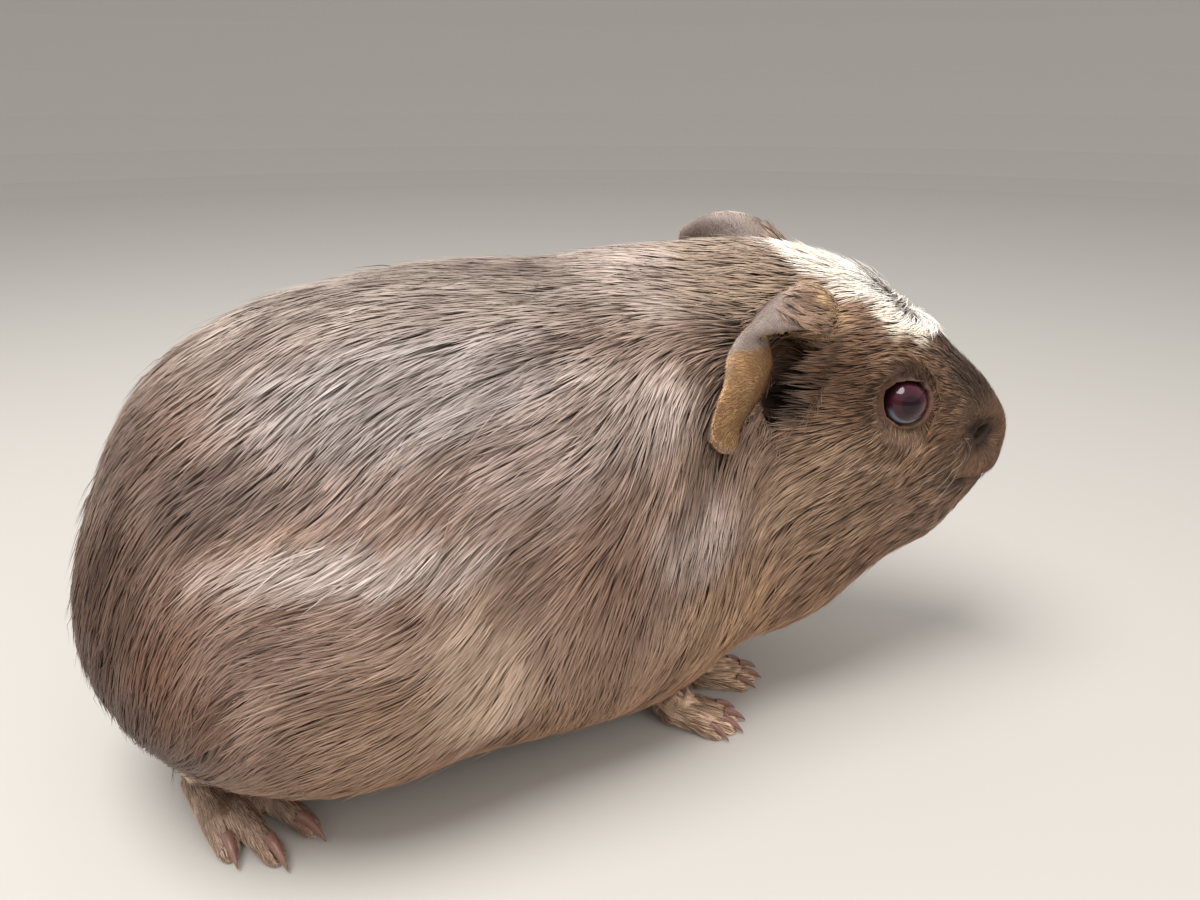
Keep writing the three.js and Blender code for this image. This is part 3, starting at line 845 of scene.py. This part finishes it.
# %% The lie and length of each tuft
PAD = (63.0, 7.5, -5.0)  # hair parts all round the nostril
PAD_REACH = 9.0
EAR_ROOT = (4.0, 17.0, 0.0)  # the ear's hair runs outwards from here
EYE_PARTING = 6  # as far out as this, hair points straight away from the eye


def foot_axes():
    """The middle of each foot, and the way that its toes point."""
    middles, ways = [], []
    for limb, claws in (("hind", 3), ("fore", 4)):
        for side in SIDES:
            middle = centre_of(f"{limb}foot_{side}")
            tips = np.mean([centre_of(f"{limb}claw_{side}_{i + 1}") for i in range(claws)], axis=0)
            middles.append(middle)
            ways.append(unit((tips - middle) * (1, 1, 0)))
    return np.array(middles), np.array(ways)


# The inner side of the right ear's top faces down, because it folds over. The left ear's is pricked up.
EAR_TOP_WAYS = {"right": np.array((0.3, -0.5, -0.8)), "left": np.array((0.4, 0.5, -0.6))}


def inner_share(points, normals):
    """How far a place on the ear's flap is on its inner, velvety side, which low down opens outwards."""
    face = to_head(points)
    facing = (normals @ head_axes) * mirror_of(face)
    top = smoothstep(3, 11, face[:, 2])[:, None]
    way_at_top = np.where(face[:, 1:2] < 0, EAR_TOP_WAYS["right"], EAR_TOP_WAYS["left"])
    way = (1 - top) * (0.5, 0.85, 0.0) + top * way_at_top
    return smoothstep(-0.15, 0.35, (facing * way).sum(1)) * smoothstep(-17.0, -13.0, face[:, 2])


def lay_of(points, normals, part):
    """The way that the hair points, its length and its depth."""
    lie, length, depth = read_chart(points)
    crest = crest_share(points)[:, None]
    lie = unit(lie) * (1 - crest) + unit(points - from_head(WHORL)) * crest * 1.5
    behind = smoothstep(6, -5, to_head(points)[:, 0] - WHORL[0])
    length = length + CREST_LONGER * crest[:, 0]
    depth = depth + (CREST_HIGHER + CREST_HIGHER_BEHIND * behind) * crest[:, 0]
    for side in SIDES:
        seen = in_eye(side, points)
        reach = np.hypot(seen[:, 0], seen[:, 1])
        near = (hump(np.maximum(reach, EYE_PARTING) - EYE_PARTING, 3.5) * (seen[:, 2] > -6))[:, None]
        away = (seen * (1, 1, 0)) @ eye_frame(side).T / np.maximum(reach, 1)[:, None]
        lie = lie * (1 - 0.8 * near) + away * near
        length = length * (1 - 0.45 * near[:, 0])
    face = to_head(points)
    mirror = mirror_of(face)
    from_pad = face - mirror * PAD
    pad = hump(np.linalg.norm(from_pad, axis=1), PAD_REACH)[:, None]
    lie = unit(lie) * (1 - pad) + unit(from_pad) @ head_axes.T * pad * 1.5
    on_ear = part == EAR
    inner = on_ear & (inner_share(points, normals) > 0.5)
    # The front of the arch wears the head's own hair, which lies back over it.
    furry = smoothstep(-2, 8, face[:, 0] + 2 * np.sin(points @ (1.1, 0.7, 1.9))) * on_ear * ~inner
    outwards = unit((face - mirror * EAR_ROOT) @ head_axes.T)
    lie[on_ear] = (unit(lie) * furry[:, None] + outwards * (1 - furry)[:, None])[on_ear]
    length[on_ear] = (np.where(inner, 2.0, 1.8) + 5.5 * furry)[on_ear]
    depth[on_ear] = (np.where(inner, 0.7, 0.5) + 1.0 * furry)[on_ear]
    middles, ways = foot_axes()
    nearest = ((points[:, None, :2] - middles[None, :, :2]) ** 2).sum(2).argmin(1)
    on_foot = part == FOOT
    high = smoothstep(6, 16, points[:, 2])
    lie[on_foot] = (ways[nearest] - np.outer(0.2 + high, (0, 0, 1)))[on_foot]
    fore = points[:, 0] > 0
    length[on_foot] = (3.4 + 1.6 * fore + 4.5 * high)[on_foot]
    depth[on_foot] = (0.7 + 0.3 * fore + 1.0 * high)[on_foot]
    return lie, length, depth, np.stack(((on_ear & ~inner) * (1 - furry), inner * 1.0))


def along_skin(lie, normals):
    return unit(lie - normals * (lie * normals).sum(1)[:, None])


lie, length, depth, ear_side = lay_of(roots["at"], roots["normal"], roots["part"])
count = len(lie)
print("hair is", length.min().round(1), "to", length.max().round(1), "mm long")

write_trait(skin.data, "ear_in", inner_share(get_points(skin), get_normals(skin)))

# %% Gather the tufts into locks
TUFTS_IN_A_LOCK = 9
LOCK_TURN = math.radians(3.5)
TUFT_TURN = math.radians(2.8)
STRAY_SHARE = 0.03  # of the tufts, those that leave their lock
BAND_STEP = 7.5
BAND_STEPS = 4
BAND_WAVES = 40


def bands(points, wide):
    """Bands of paler and darker hair that run with the lie: waves averaged along the way the hair goes."""
    spread = unit(rng.normal(size=(BAND_WAVES, 3)))
    ways = spread * 2 * np.pi / (wide * rng.uniform(0.7, 1.6, BAND_WAVES))[:, None]
    starts = rng.uniform(0, 2 * np.pi, BAND_WAVES)
    total = np.sin(points @ ways.T + starts).sum(1)
    for way in (1, -1):
        place = points
        for _ in range(BAND_STEPS):
            place = place + way * BAND_STEP * unit(read_chart(place)[0])
            total += np.sin(place @ ways.T + starts).sum(1)
    return total / total.std()


seeds = np.arange(count // TUFTS_IN_A_LOCK)
tree = KDTree(len(seeds))
for index in seeds:
    tree.insert(roots["at"][index], index)
tree.balance()
lock = np.array([tree.find(point)[1] for point in roots["at"]])
lock_turn = rng.normal(0, LOCK_TURN, len(seeds))
lock_lift = rng.uniform(-1, 1, len(seeds))
lock_shade = 0.8 * bands(roots["at"][seeds], 10.0) + 0.6 * bands(roots["at"][seeds], 4.5)
lock_length = rng.uniform(0.85, 1.15, len(seeds))
stray = rng.random(count) < STRAY_SHARE


def turned_about(vectors, axes, angle):
    """Each vector turned about its own axis, which is square to it."""
    return vectors * np.cos(angle)[:, None] + np.cross(axes, vectors) * np.sin(angle)[:, None]


def wander(points):
    """A slow wander in the lie, as in any real coat, from a few crossing waves."""
    x, y, z = (points / 9.0).T
    return 0.16 * (np.sin(0.9 * x + 0.5 * z + 1.0) + np.sin(0.7 * y - 0.8 * z + 0.4 * x + 2.0) * 0.8)


start = along_skin(lie, roots["normal"])
angle = wander(roots["at"]) + lock_turn[lock] + rng.normal(0, TUFT_TURN, count) * np.where(stray, 3, 1)
start = turned_about(start, roots["normal"], angle)
length = length * lock_length[lock] * rng.uniform(0.8, 1.15, count)
loose = 0.07 + 0.3 * crest_share(roots["at"])
lift = depth * (0.88 + loose * lock_lift[lock]) * rng.uniform(0.82, 1.12, count) * np.where(stray, 1.35, 1)
print(len(seeds), "locks")

# %% Walk each tuft over the skin
STEPS = 3
RISE = (0.0, 0.5, 0.82, 1.0)  # how much of its lift a tuft has at each step
SUNK_ROOT = 0.15
EAR_RIM = (17.0, 24.0, -1.0)  # the front rim of the ear's opening, in the head's frame
EAR_RIM_HALF = (4.5, 7.0, 12.0)


def rim_share(points):
    """How far a tuft grows on the front rim of the ear's opening. Such hair bridges the opening."""
    face = to_head(points)
    off = (face * mirror_of(face) - EAR_RIM) / EAR_RIM_HALF
    return smoothstep(1.25, 0.8, np.linalg.norm(off, axis=1)) * (roots["part"] == BODY)


def on_skin(points):
    """The nearest places on the skin, and its normals there."""
    found = [bare_skin.find_nearest(Vector(point)) for point in points * MM]
    return np.array([hit[0] for hit in found]) / MM, np.array([hit[1] for hit in found])


def walk():
    """The skin under each tuft, its normal and its heading, from the root in equal steps to the tip."""
    place, heading, normal = roots["at"].copy(), start.copy(), roots["normal"].copy()
    bridge = rim_share(place)[:, None]
    path = [(place, normal, heading)]
    for step in range(STEPS):
        under, facing = on_skin(place + heading * (length / STEPS)[:, None])
        straight = roots["at"] + start * (length * (step + 1) / STEPS)[:, None]
        place = under * (1 - bridge) + straight * bridge
        normal = unit(normal + facing * (1 - bridge))
        new_lie, _, _, _ = lay_of(place, normal, roots["part"])
        new_way = turned_about(along_skin(new_lie, normal), normal, angle)
        heading = unit(along_skin(heading, normal) * 0.6 + new_way * 0.4 * (1 - bridge))
        path.append((place, normal, heading))
    return path


path = walk()
spine = np.stack([place + normal * (lift * rise - SUNK_ROOT)[:, None]
                  for rise, (place, normal, _) in zip(RISE, path)])
print("tufts laid")

# %% Build the slivers
COAT_PIECES = 8
LONG_TAPER = (0.7, 1.0, 0.85)
SHORT_TAPER = (0.8, 1.0)
TINY_TAPER = (1.0,)
KEEL = 0.55  # how high the keel stands, as a share of half the width
PATCH = 0.003  # the width of a tuft's patch on the unwrap
AT_KEEL, AT_LEFT, AT_RIGHT, AT_TIP = range(4)


def sliver_faces(rings):
    """The corners of one keeled sliver: three sides for each step, three at the tip and one at the root."""
    left, keel, right = range(3)
    sides = ((left, keel), (keel, right), (right, left))
    quads = [(low + one, low + other, low + 3 + other, low + 3 + one)
             for low in range(0, 3 * rings - 3, 3) for one, other in sides]
    last, tip = 3 * rings - 3, 3 * rings
    triangles = [(left, right, keel)] + [(last + one, last + other, tip) for one, other in sides]
    return np.array(quads, int).reshape(-1, 4), np.array(triangles)


def sliver_arrays(spine, normals, width, roll, root, unwrap, taper, traits):
    """Points, faces, unwrap and traits for many slivers along (ring, sliver, xyz) spines."""
    amount, rings = spine.shape[1], len(taper)
    quads, triangles = sliver_faces(rings)
    per = 3 * rings + 1
    points = np.empty((amount, per, 3))
    patch = np.empty((amount, per, 2))
    along = np.empty((amount, per))
    across = np.tile(np.array((0.0, 0.5, 1.0) * rings + (0.5,)), (amount, 1))
    for ring in range(rings):
        way = unit(spine[ring + 1] - spine[ring])
        side = unit(np.cross(way, normals[ring]))
        up = np.cross(side, way)
        side, up = (side * np.cos(roll)[:, None] + up * np.sin(roll)[:, None],
                    up * np.cos(roll)[:, None] - side * np.sin(roll)[:, None])
        half = (width * taper[ring] / 2)[:, None]
        points[:, 3 * ring] = spine[ring] - side * half
        points[:, 3 * ring + 1] = spine[ring] + up * half * KEEL
        points[:, 3 * ring + 2] = spine[ring] + side * half
        along[:, 3 * ring:3 * ring + 3] = ring / rings
    points[:, -1] = spine[rings]
    along[:, -1] = 1.0
    patch[..., 0] = unwrap[:, None, 0] + (across - 0.5) * PATCH
    patch[..., 1] = unwrap[:, None, 1] + (along - 0.5) * PATCH
    offset = (np.arange(amount) * per)[:, None, None]
    return {
        "points": points.reshape(-1, 3),
        "quads": (quads[None] + offset).reshape(-1, 4),
        "triangles": (triangles[None] + offset).reshape(-1, 3),
        "patch": patch.reshape(-1, 2),
        "strand": np.stack((across + 7 * np.arange(amount)[:, None], along * 2), axis=2).reshape(-1, 2),
        "root_place": np.repeat(root * MM, per, axis=0),
        "rim": np.tile((AT_LEFT, AT_KEEL, AT_RIGHT) * rings + (AT_TIP,), amount),
        "along": along.ravel(),
        **{name: np.repeat(values, per) for name, values in traits.items()},
    }


def build_slivers(name, groups):
    """One mesh from several groups of slivers."""
    starts = np.cumsum([0] + [len(group["points"]) for group in groups])
    joined = {key: np.concatenate([group[key] for group in groups]) for key in groups[0]}
    quads, triangles = (np.concatenate([group[kind] + start for group, start in zip(groups, starts)])
                        for kind in ("quads", "triangles"))
    del joined["quads"], joined["triangles"]
    corners = np.concatenate((quads.ravel(), triangles.ravel())).astype(np.int32)
    sizes = np.concatenate((np.full(len(quads), 4), np.full(len(triangles), 3)))
    mesh = bpy.data.meshes.new(name)
    mesh.vertices.add(len(joined["points"]))
    mesh.vertices.foreach_set("co", (joined.pop("points") * MM).ravel())
    mesh.loops.add(len(corners))
    mesh.loops.foreach_set("vertex_index", corners)
    mesh.polygons.add(len(sizes))
    mesh.polygons.foreach_set("loop_start", np.concatenate(((0,), np.cumsum(sizes)[:-1])).astype(np.int32))
    mesh.update(calc_edges=True)
    for layer, key in (("OFBake", "patch"), ("Strand", "strand")):
        mesh.uv_layers.new(name=layer).data.foreach_set("uv", joined.pop(key)[corners].ravel())
    # The two long edges are sharp, so that a blade is lit as one smooth back and not as a round rod.
    one, other = joined.pop("rim")[read_all(mesh.edges, "vertices", 2)].T
    sharp = ((one == other) & ((one == AT_LEFT) | (one == AT_RIGHT))) | (
        (np.maximum(one, other) == AT_TIP) & (np.minimum(one, other) != AT_KEEL))
    write_trait(mesh, "sharp_edge", sharp, "BOOLEAN", "EDGE")
    write_trait(mesh, "root_place", joined.pop("root_place").ravel(), "FLOAT_VECTOR", field="vector")
    for key, values in joined.items():
        write_trait(mesh, key, values)
    mesh.polygons.foreach_set("use_smooth", np.ones(len(sizes), bool))
    mesh.validate()
    piece = bpy.data.objects.new(name, mesh)
    bpy.context.collection.objects.link(piece)
    return piece


# %% Draw each lock together, and build the coat in pieces
LEAN_TOGETHER = 0.2
LOWEST_HAIR = 0.3
WIDTH_AT_NOSE = 0.1
WIDTH_PER_LENGTH = 0.019
STRAY_WIDTH = 0.55
ROLL = math.radians(15)
BAND_CONTRAST = 0.31
TINY_UNDER, FINE_UNDER = 5.4, 9  # tufts shorter than this have one step, or two
FINE_SHARE = 0.75  # of the longer tufts, those with two steps and not three

# Tufts of one lock draw together towards the lock's first tuft, more and more to the tip.
first = spine[:, seeds][:, lock]
lean = LEAN_TOGETHER * np.where(stray, 0, 1)[:, None]
for k in range(1, STEPS + 1):
    _, normal, heading = path[k]
    sideways = np.cross(heading[seeds][lock], normal)
    apart = ((spine[k] - first[k]) * sideways).sum(1)[:, None]
    spine[k] -= sideways * apart * lean * (k / STEPS) ** 1.3
spine[..., 2] = np.maximum(spine[..., 2], LOWEST_HAIR)

width = (WIDTH_AT_NOSE + WIDTH_PER_LENGTH * length) * rng.uniform(0.7, 1.3, count)
width *= np.where(stray, STRAY_WIDTH, 1)
crest = crest_share(roots["at"])
width = width * (1 - CREST_FINER * crest) / math.sqrt(QUICK_SHARE)
roll = rng.normal(0, ROLL, count)
on_face = smoothstep(-10, 25, to_head(roots["at"])[:, 0])
streaky = 0.5 + 0.5 * smoothstep(40, 80, roots["at"][:, 2])
shade = 0.5 + BAND_CONTRAST * (1 - 0.6 * on_face) * streaky * lock_shade[lock]
shade += (0.04 + 0.16 * on_face) * rng.normal(0, 1, len(seeds))[lock]
shade += (0.05 + 0.1 * on_face) * rng.normal(0, 1, count)
shade = np.clip(shade, 0, 1)
piece_of = rng.integers(0, COAT_PIECES, count)
tiny = length < TINY_UNDER
fine = ~tiny & ((length < FINE_UNDER) | (rng.random(count) < FINE_SHARE))
traits = {
    "shade": shade,
    "face": on_face,
    "ear_out": ear_side[0],
    "ear_in": ear_side[1],
    "foot": (roots["part"] == FOOT).astype(float),
    "crest": crest,
}
# A tuft takes its colour from half-way along, so that a marking shows where it is meant to, and not a
# hair's length behind it. On the crest, where hair stands up, it takes it from the root.
half_way = (path[1][0] + path[2][0]) / 2
stands = np.clip(1.5 * crest, 0, 1)[:, None]
marked = half_way * (1 - stands) + roots["at"] * stands
LONG_PATH = [0, 1, 2, 3]
SHORT_PATH = [0, 2, 3]  # a short tuft keeps its root, its bend and its tip
TINY_PATH = [0, 3]  # the velvet of the ears, feet and nose is too short to bend
kinds = ((LONG_TAPER, LONG_PATH, ~fine & ~tiny), (SHORT_TAPER, SHORT_PATH, fine),
         (TINY_TAPER, TINY_PATH, tiny))
coat = []
for number in range(COAT_PIECES):
    groups = []
    for taper, steps, chosen in kinds:
        mine = chosen & (piece_of == number)
        groups.append(sliver_arrays(
            spine[steps][:, mine], np.stack([path[k][1][mine] for k in steps]), width[mine], roll[mine],
            marked[mine], roots["unwrap"][mine], taper,
            {name: values[mine] for name, values in traits.items()}))
    coat.append(build_slivers(f"coat_{number + 1}", groups))
    print(coat[-1].name, sum(len(face.vertices) - 2 for face in coat[-1].data.polygons), "triangles")


# %% The finish of the hair
def finish_coat():
    """Fine hair is translucent horn: dull at the root, paler to the tip, never one shade."""
    material = bpy.data.materials.new("soft guinea pig hair")
    tree, shader = start_material(material, {
        "Roughness": 0.45, "IOR": 1.55, "Specular IOR Level": 0.35, "Sheen Weight": 0.08,
        "Sheen Roughness": 0.4})
    trait = {name: trait_of(tree, name)
             for name in ("along", "shade", "face", "crest", "ear_out", "ear_in", "foot")}
    colour = coat_colour_and_painted_light(tree, trait_of(tree, "root_place", "Vector"))
    colour = mixed(tree, trait["ear_out"], colour, linear("#bfab9c"))
    colour = mixed(tree, trait["ear_in"], colour, linear("#d4aa76"))
    # The feet's hair is pale cream: partly its own colour, partly painted light that lifts the feet out of
    # the body's shade.
    colour = mixed(tree, maths(tree, "MULTIPLY", trait["foot"], 0.85), colour, linear("#f0d6bd"))
    # The undercoat is darker at the root, most of all on the face.
    root_shade = mixed(tree, trait["face"], linear("#b3a8a2"), linear("#6f6258"))
    root_shade = mixed(tree, trait["crest"], root_shade, linear("#f4efe8"))
    grown = add_node(tree, "ShaderNodeMapRange", {"Value": trait["along"], "From Max": 0.65}).outputs[0]
    colour = mixed(tree, 1.0, colour, mixed(tree, grown, root_shade, linear("#ffffff")), blend="MULTIPLY")
    tipward = maths(tree, "POWER", trait["along"], 2.0)
    colour = mixed(tree, maths(tree, "MULTIPLY", tipward, 0.05), colour, linear("#e6dedb"))
    colour = mixed(tree, tipward, colour, (1.2, 1.19, 1.18, 1.0), blend="MULTIPLY")
    # Bands of silvery and of browner hair.
    strand = add_node(tree, "ShaderNodeUVMap", uv_map="Strand").outputs["UV"]
    stretched = add_node(tree, "ShaderNodeMapping", {"Vector": strand, "Scale": (4.0, 1.0, 1.0)}).outputs[0]
    streak = add_node(tree, "ShaderNodeTexNoise", {"Vector": stretched, "Scale": 1.0, "Detail": 1.0})
    silver = maths(tree, "ADD", maths(tree, "MULTIPLY", trait["shade"], 0.8),
                   maths(tree, "MULTIPLY", streak.outputs["Fac"], 0.2), clamp=True)
    body_tint = mixed(tree, silver, (0.5, 0.44, 0.4, 1.0), (1.36, 1.36, 1.38, 1.0))
    face_tint = mixed(tree, silver, (0.4, 0.31, 0.24, 1.0), (1.5, 1.4, 1.24, 1.0))
    tint = mixed(tree, trait["face"], body_tint, face_tint)
    plain = maths(tree, "MULTIPLY", trait["crest"], 1.3, clamp=True)
    tint = mixed(tree, plain, tint, (1.0, 1.0, 1.0, 1.0))
    colour = mixed(tree, 1.0, colour, tint, blend="MULTIPLY")
    tree.links.new(colour, shader.inputs["Base Color"])
    return material


coat_finish = finish_coat()
for piece in coat:
    piece.data.materials.append(coat_finish)

# %% [markdown]
# ## Whiskers
#
# Whiskers are the stiffest hairs on the animal, a sixth of a millimetre wide at the root. They grow in rows
# from the pads beside the nose and sweep out, back and down. A few stand over the eye and on the cheek.
# They are the same keeled slivers as the coat, with more steps, so that they bend smoothly.

# %% Grow the whiskers
WHISKER_STEPS = 8
WHISKER_WIDTH = 0.16
WHISKER_GAP = 2.4
WHISKER_SAG = 0.09
WHISKER_ROWS = [
    # forward, to the side and up of the root in the head's frame; the way out; length; how many
    ((60, 10, -6), (-0.8, 1.0, 0.15), 26, 3),
    ((60, 11, -9), (-0.9, 1.0, -0.1), 30, 4),
    ((59, 11, -13), (-0.9, 0.9, -0.4), 26, 3),
    ((40, 12, 12), (-0.5, 0.7, 0.9), 13, 2),
    ((30, 24, -12), (-0.6, 0.9, -0.5), 18, 1),
]


def grow_whiskers():
    starts, ways, lengths = [], [], []
    for place, way, reach, number in WHISKER_ROWS:
        for side in (1, -1):
            for index in range(number):
                spot = np.array(place) + (-WHISKER_GAP * index, 0, 0) + rng.normal(0, 0.4, 3)
                starts.append(from_head(spot * (1, side, 1)))
                ways.append(head_axes @ (unit(np.array(way) + rng.normal(0, 0.12, 3)) * (1, side, 1)))
                lengths.append(reach * rng.uniform(0.7, 1.1))
    place, normal = on_skin(np.array(starts))
    heading = unit(np.array(ways) + 0.5 * normal)
    sag = head_axes @ (-0.8, 0.0, 0.0) + np.array((0.0, 0.0, -0.35))
    spine = [place - normal * 0.4]
    for _ in range(WHISKER_STEPS):
        spine.append(spine[-1] + heading * (np.array(lengths) / WHISKER_STEPS)[:, None])
        heading = unit(heading + sag * WHISKER_SAG)
    spine = np.stack(spine)
    amount = len(place)
    normals = np.broadcast_to(normal, (WHISKER_STEPS + 1, amount, 3))
    taper = [(1 - ring / WHISKER_STEPS) ** 0.7 for ring in range(WHISKER_STEPS)]
    flat = {name: np.zeros(amount) for name in traits}
    return build_slivers("whiskers", [sliver_arrays(
        spine, normals, np.full(amount, WHISKER_WIDTH), np.zeros(amount), place, np.full((amount, 2), 0.5),
        taper, flat)])


whiskers = grow_whiskers()
whisker_finish = bpy.data.materials.new("stiff pale whisker hair")
tree, shader = start_material(whisker_finish, {"Roughness": 0.3})
whisker_colour = mixed(tree, trait_of(tree, "along"), linear("#8d7a69"), linear("#efe6d8"))
tree.links.new(whisker_colour, shader.inputs["Base Color"])
whiskers.data.materials.append(whisker_finish)
print(len(whiskers.data.vertices) // (3 * WHISKER_STEPS + 1), "whiskers")

# %% [markdown]
# ## Claws
#
# A claw is a curved, flattened cone of horn. One is modelled from a small disc, extruded ring by ring while
# it bends and narrows, as a horn grows. The fourteen claws are copies of it, each with its own mesh.

# %% Model one claw, one unit long
CLAW_RINGS = 8
CLAW_BEND = math.radians(52)
CLAW_ROOT = 0.24
CLAW_FLATNESS = 0.72
CLAW_BLUNTNESS = 0.4


def model_claw():
    bpy.ops.object.select_all(action="DESELECT")
    bpy.ops.mesh.primitive_circle_add(
        vertices=12, radius=CLAW_ROOT, fill_type="NGON", rotation=(0, math.radians(90), 0))
    claw = bpy.context.active_object
    bpy.ops.object.transform_apply(rotation=True)
    with editing():
        bpy.ops.transform.resize(value=(1, CLAW_FLATNESS, 1))
        centre = Vector((0, 0, 0))
        for ring in range(CLAW_RINGS):
            angle = CLAW_BEND * ((ring + 0.5) / CLAW_RINGS - 0.5)
            step = Vector((math.cos(angle), 0, -math.sin(angle))) / CLAW_RINGS
            bpy.ops.mesh.extrude_region_move(TRANSFORM_OT_translate={"value": step})
            centre += step
            left = 1 - (ring + 1) / (CLAW_RINGS + CLAW_BLUNTNESS)
            before = 1 - ring / (CLAW_RINGS + CLAW_BLUNTNESS)
            narrow = (left / before) ** 0.8
            bpy.ops.transform.resize(value=(1, narrow, narrow), center_override=centre)
        bpy.ops.mesh.select_all(action="SELECT")
        bpy.ops.mesh.normals_make_consistent(inside=False)
    bpy.ops.object.shade_smooth_by_angle(angle=math.radians(50))
    return claw


pattern_claw = model_claw()

# %% Set a claw at the end of each toe
ROOT_POINTS = 12  # points of a solid claw that make up its root
IN_TOE = 0.3  # how far the root is sunk in the toe, as a share of the solid claw
LENGTHENED = 1.1
CLAW_CLEARANCE = 0.15

claw_finish = bpy.data.materials.new("translucent horn")
tree, shader = start_material(claw_finish, {
    "Roughness": 0.35, "IOR": 1.54, "Subsurface Weight": 0.15,
    "Subsurface Radius": (0.6 * MM, 0.3 * MM, 0.2 * MM)})
layers = add_node(tree, "ShaderNodeTexNoise", {"Vector": object_place(tree), "Scale": 1400.0, "Detail": 3.0})
claw_colour = mixed(tree, layers.outputs["Fac"], linear("#6f4a41"), linear("#9c7568"))
tree.links.new(claw_colour, shader.inputs["Base Color"])
pattern_claw.data.materials.append(claw_finish)


def set_claw(node, foot):
    """A copy of the pattern, stretched from inside the toe, at the root of a solid claw, to its tip."""
    points = get_points(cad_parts[node])
    order = np.argsort(np.linalg.norm(points - centre_of(foot), axis=1))
    root, tip = points[order[:ROOT_POINTS]].mean(0), points[order[-1]]
    chord = Vector((tip - root) * MM)
    claw = pattern_claw.copy()
    claw.data = pattern_claw.data.copy()
    claw.name = node.replace("claw", "_claw")
    bpy.context.collection.objects.link(claw)
    turn = chord.to_track_quat("X", "Z").to_matrix().to_4x4()
    size = Matrix.Scale(chord.length * LENGTHENED, 4)
    claw.matrix_world = Matrix.Translation(Vector(root * MM) - chord * IN_TOE) @ turn @ size
    select_only(claw)
    bpy.ops.object.transform_apply(location=True, rotation=True, scale=True)
    lowered = get_points(claw)
    lowered[:, 2] = np.maximum(lowered[:, 2], CLAW_CLEARANCE)
    set_points(claw, lowered)
    return claw


claws = {}
for limb, number in (("hind", 3), ("fore", 4)):
    for side in SIDES:
        for index in range(number):
            node = f"{limb}claw_{side}_{index + 1}"
            claws[node] = set_claw(node, f"{limb}foot_{side}")
bpy.data.objects.remove(pattern_claw)
print(len(claws), "claws")

# %% [markdown]
# ## Where the model stands
#
# A pale floor that curves up into its own backdrop, a broad soft light overhead and a weaker one from the
# front give the calm light of a studio table. The camera stands a hand's length from the animal, a little
# above it, and looks down on its right side.

# %% Floor and backdrop
FLOOR_RADIUS = 1.6  # in metres, as all that stands round the model
CURVE_RADIUS = 0.9
CURVE_STEP = 10  # in degrees


def model_stage():
    bpy.ops.object.select_all(action="DESELECT")
    bpy.ops.mesh.primitive_circle_add(vertices=96, radius=FLOOR_RADIUS, fill_type="NGON", location=(0, 0, 0))
    stage = bpy.context.active_object
    stage.name = "floor"
    with editing():
        for step in range(1, 90 // CURVE_STEP + 1):
            angle = math.radians(CURVE_STEP * step)
            before = angle - math.radians(CURVE_STEP)
            rise = CURVE_RADIUS * (math.cos(before) - math.cos(angle))
            run = CURVE_RADIUS * (math.sin(angle) - math.sin(before))
            bpy.ops.mesh.extrude_region_move(TRANSFORM_OT_translate={"value": (0, 0, rise)})
            reach = FLOOR_RADIUS + CURVE_RADIUS * math.sin(angle)
            bpy.ops.transform.resize(value=(reach / (reach - run), reach / (reach - run), 1))
        bpy.ops.mesh.delete(type="ONLY_FACE")
    material = bpy.data.materials.new("matt studio paper")
    start_material(material, {"Base Color": linear("#bcb7b0"), "Roughness": 0.9})
    stage.data.materials.append(material)
    return stage


# %% Lights and camera
def area_light(name, place, aim, size, watts, colour):
    data = bpy.data.lights.new(name, "AREA")
    data.shape = "DISK"
    data.size = size
    data.energy = watts
    data.color = colour
    lamp = bpy.data.objects.new(name, data)
    lamp.location = place
    lamp.rotation_euler = (Vector(aim) - Vector(place)).to_track_quat("-Z", "Y").to_euler()
    lamp.visible_glossy = name == "overhead"  # one window in the eye, as by daylight
    bpy.context.collection.objects.link(lamp)


model_stage()
middle = (0.0, 0.0, 0.06)
area_light("overhead", (-0.25, -0.1, 0.75), middle, 0.5, 7.5, (1.0, 1.0, 1.0))
area_light("front", (0.35, -0.75, 0.45), middle, 0.7, 2.2, (1.0, 0.97, 0.93))

bpy.context.scene.view_settings.view_transform = "Standard"
world = bpy.data.worlds.new("studio air")
bpy.context.scene.world = world
world.use_nodes = True
world.node_tree.nodes["Background"].inputs["Color"].default_value = linear("#e6e6e6")
world.node_tree.nodes["Background"].inputs["Strength"].default_value = 0.9

LENS_OVER_WIDTH = 0.755  # the lens's length, as a share of the sensor's width
camera_data = bpy.data.cameras.new("camera")
camera_data.sensor_width = 36
camera_data.lens = LENS_OVER_WIDTH * camera_data.sensor_width
camera_data.clip_start = 0.005
camera = bpy.data.objects.new("camera", camera_data)
camera.location = (-0.0648, -0.205, 0.152)
LOOK_YAW = math.radians(20)
LOOK_DOWN = math.radians(21.2)
camera.rotation_euler = (math.radians(90) - LOOK_DOWN, 0, -LOOK_YAW)
bpy.context.collection.objects.link(camera)
bpy.context.scene.camera = camera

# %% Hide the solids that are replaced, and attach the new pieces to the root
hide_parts(*BODY_NODES, *[f"ear_{side}" for side in SIDES],
            *[f"{limb}foot_{side}" for limb in ("hind", "fore") for side in SIDES])
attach(skin, "root")
for side, eye in eyes.items():
    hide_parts(f"eye_{side}")
    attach(eye, "root")
for piece in (*coat, whiskers):
    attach(piece, "root")
for node, claw in claws.items():
    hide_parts(node)
    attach(claw, "root")
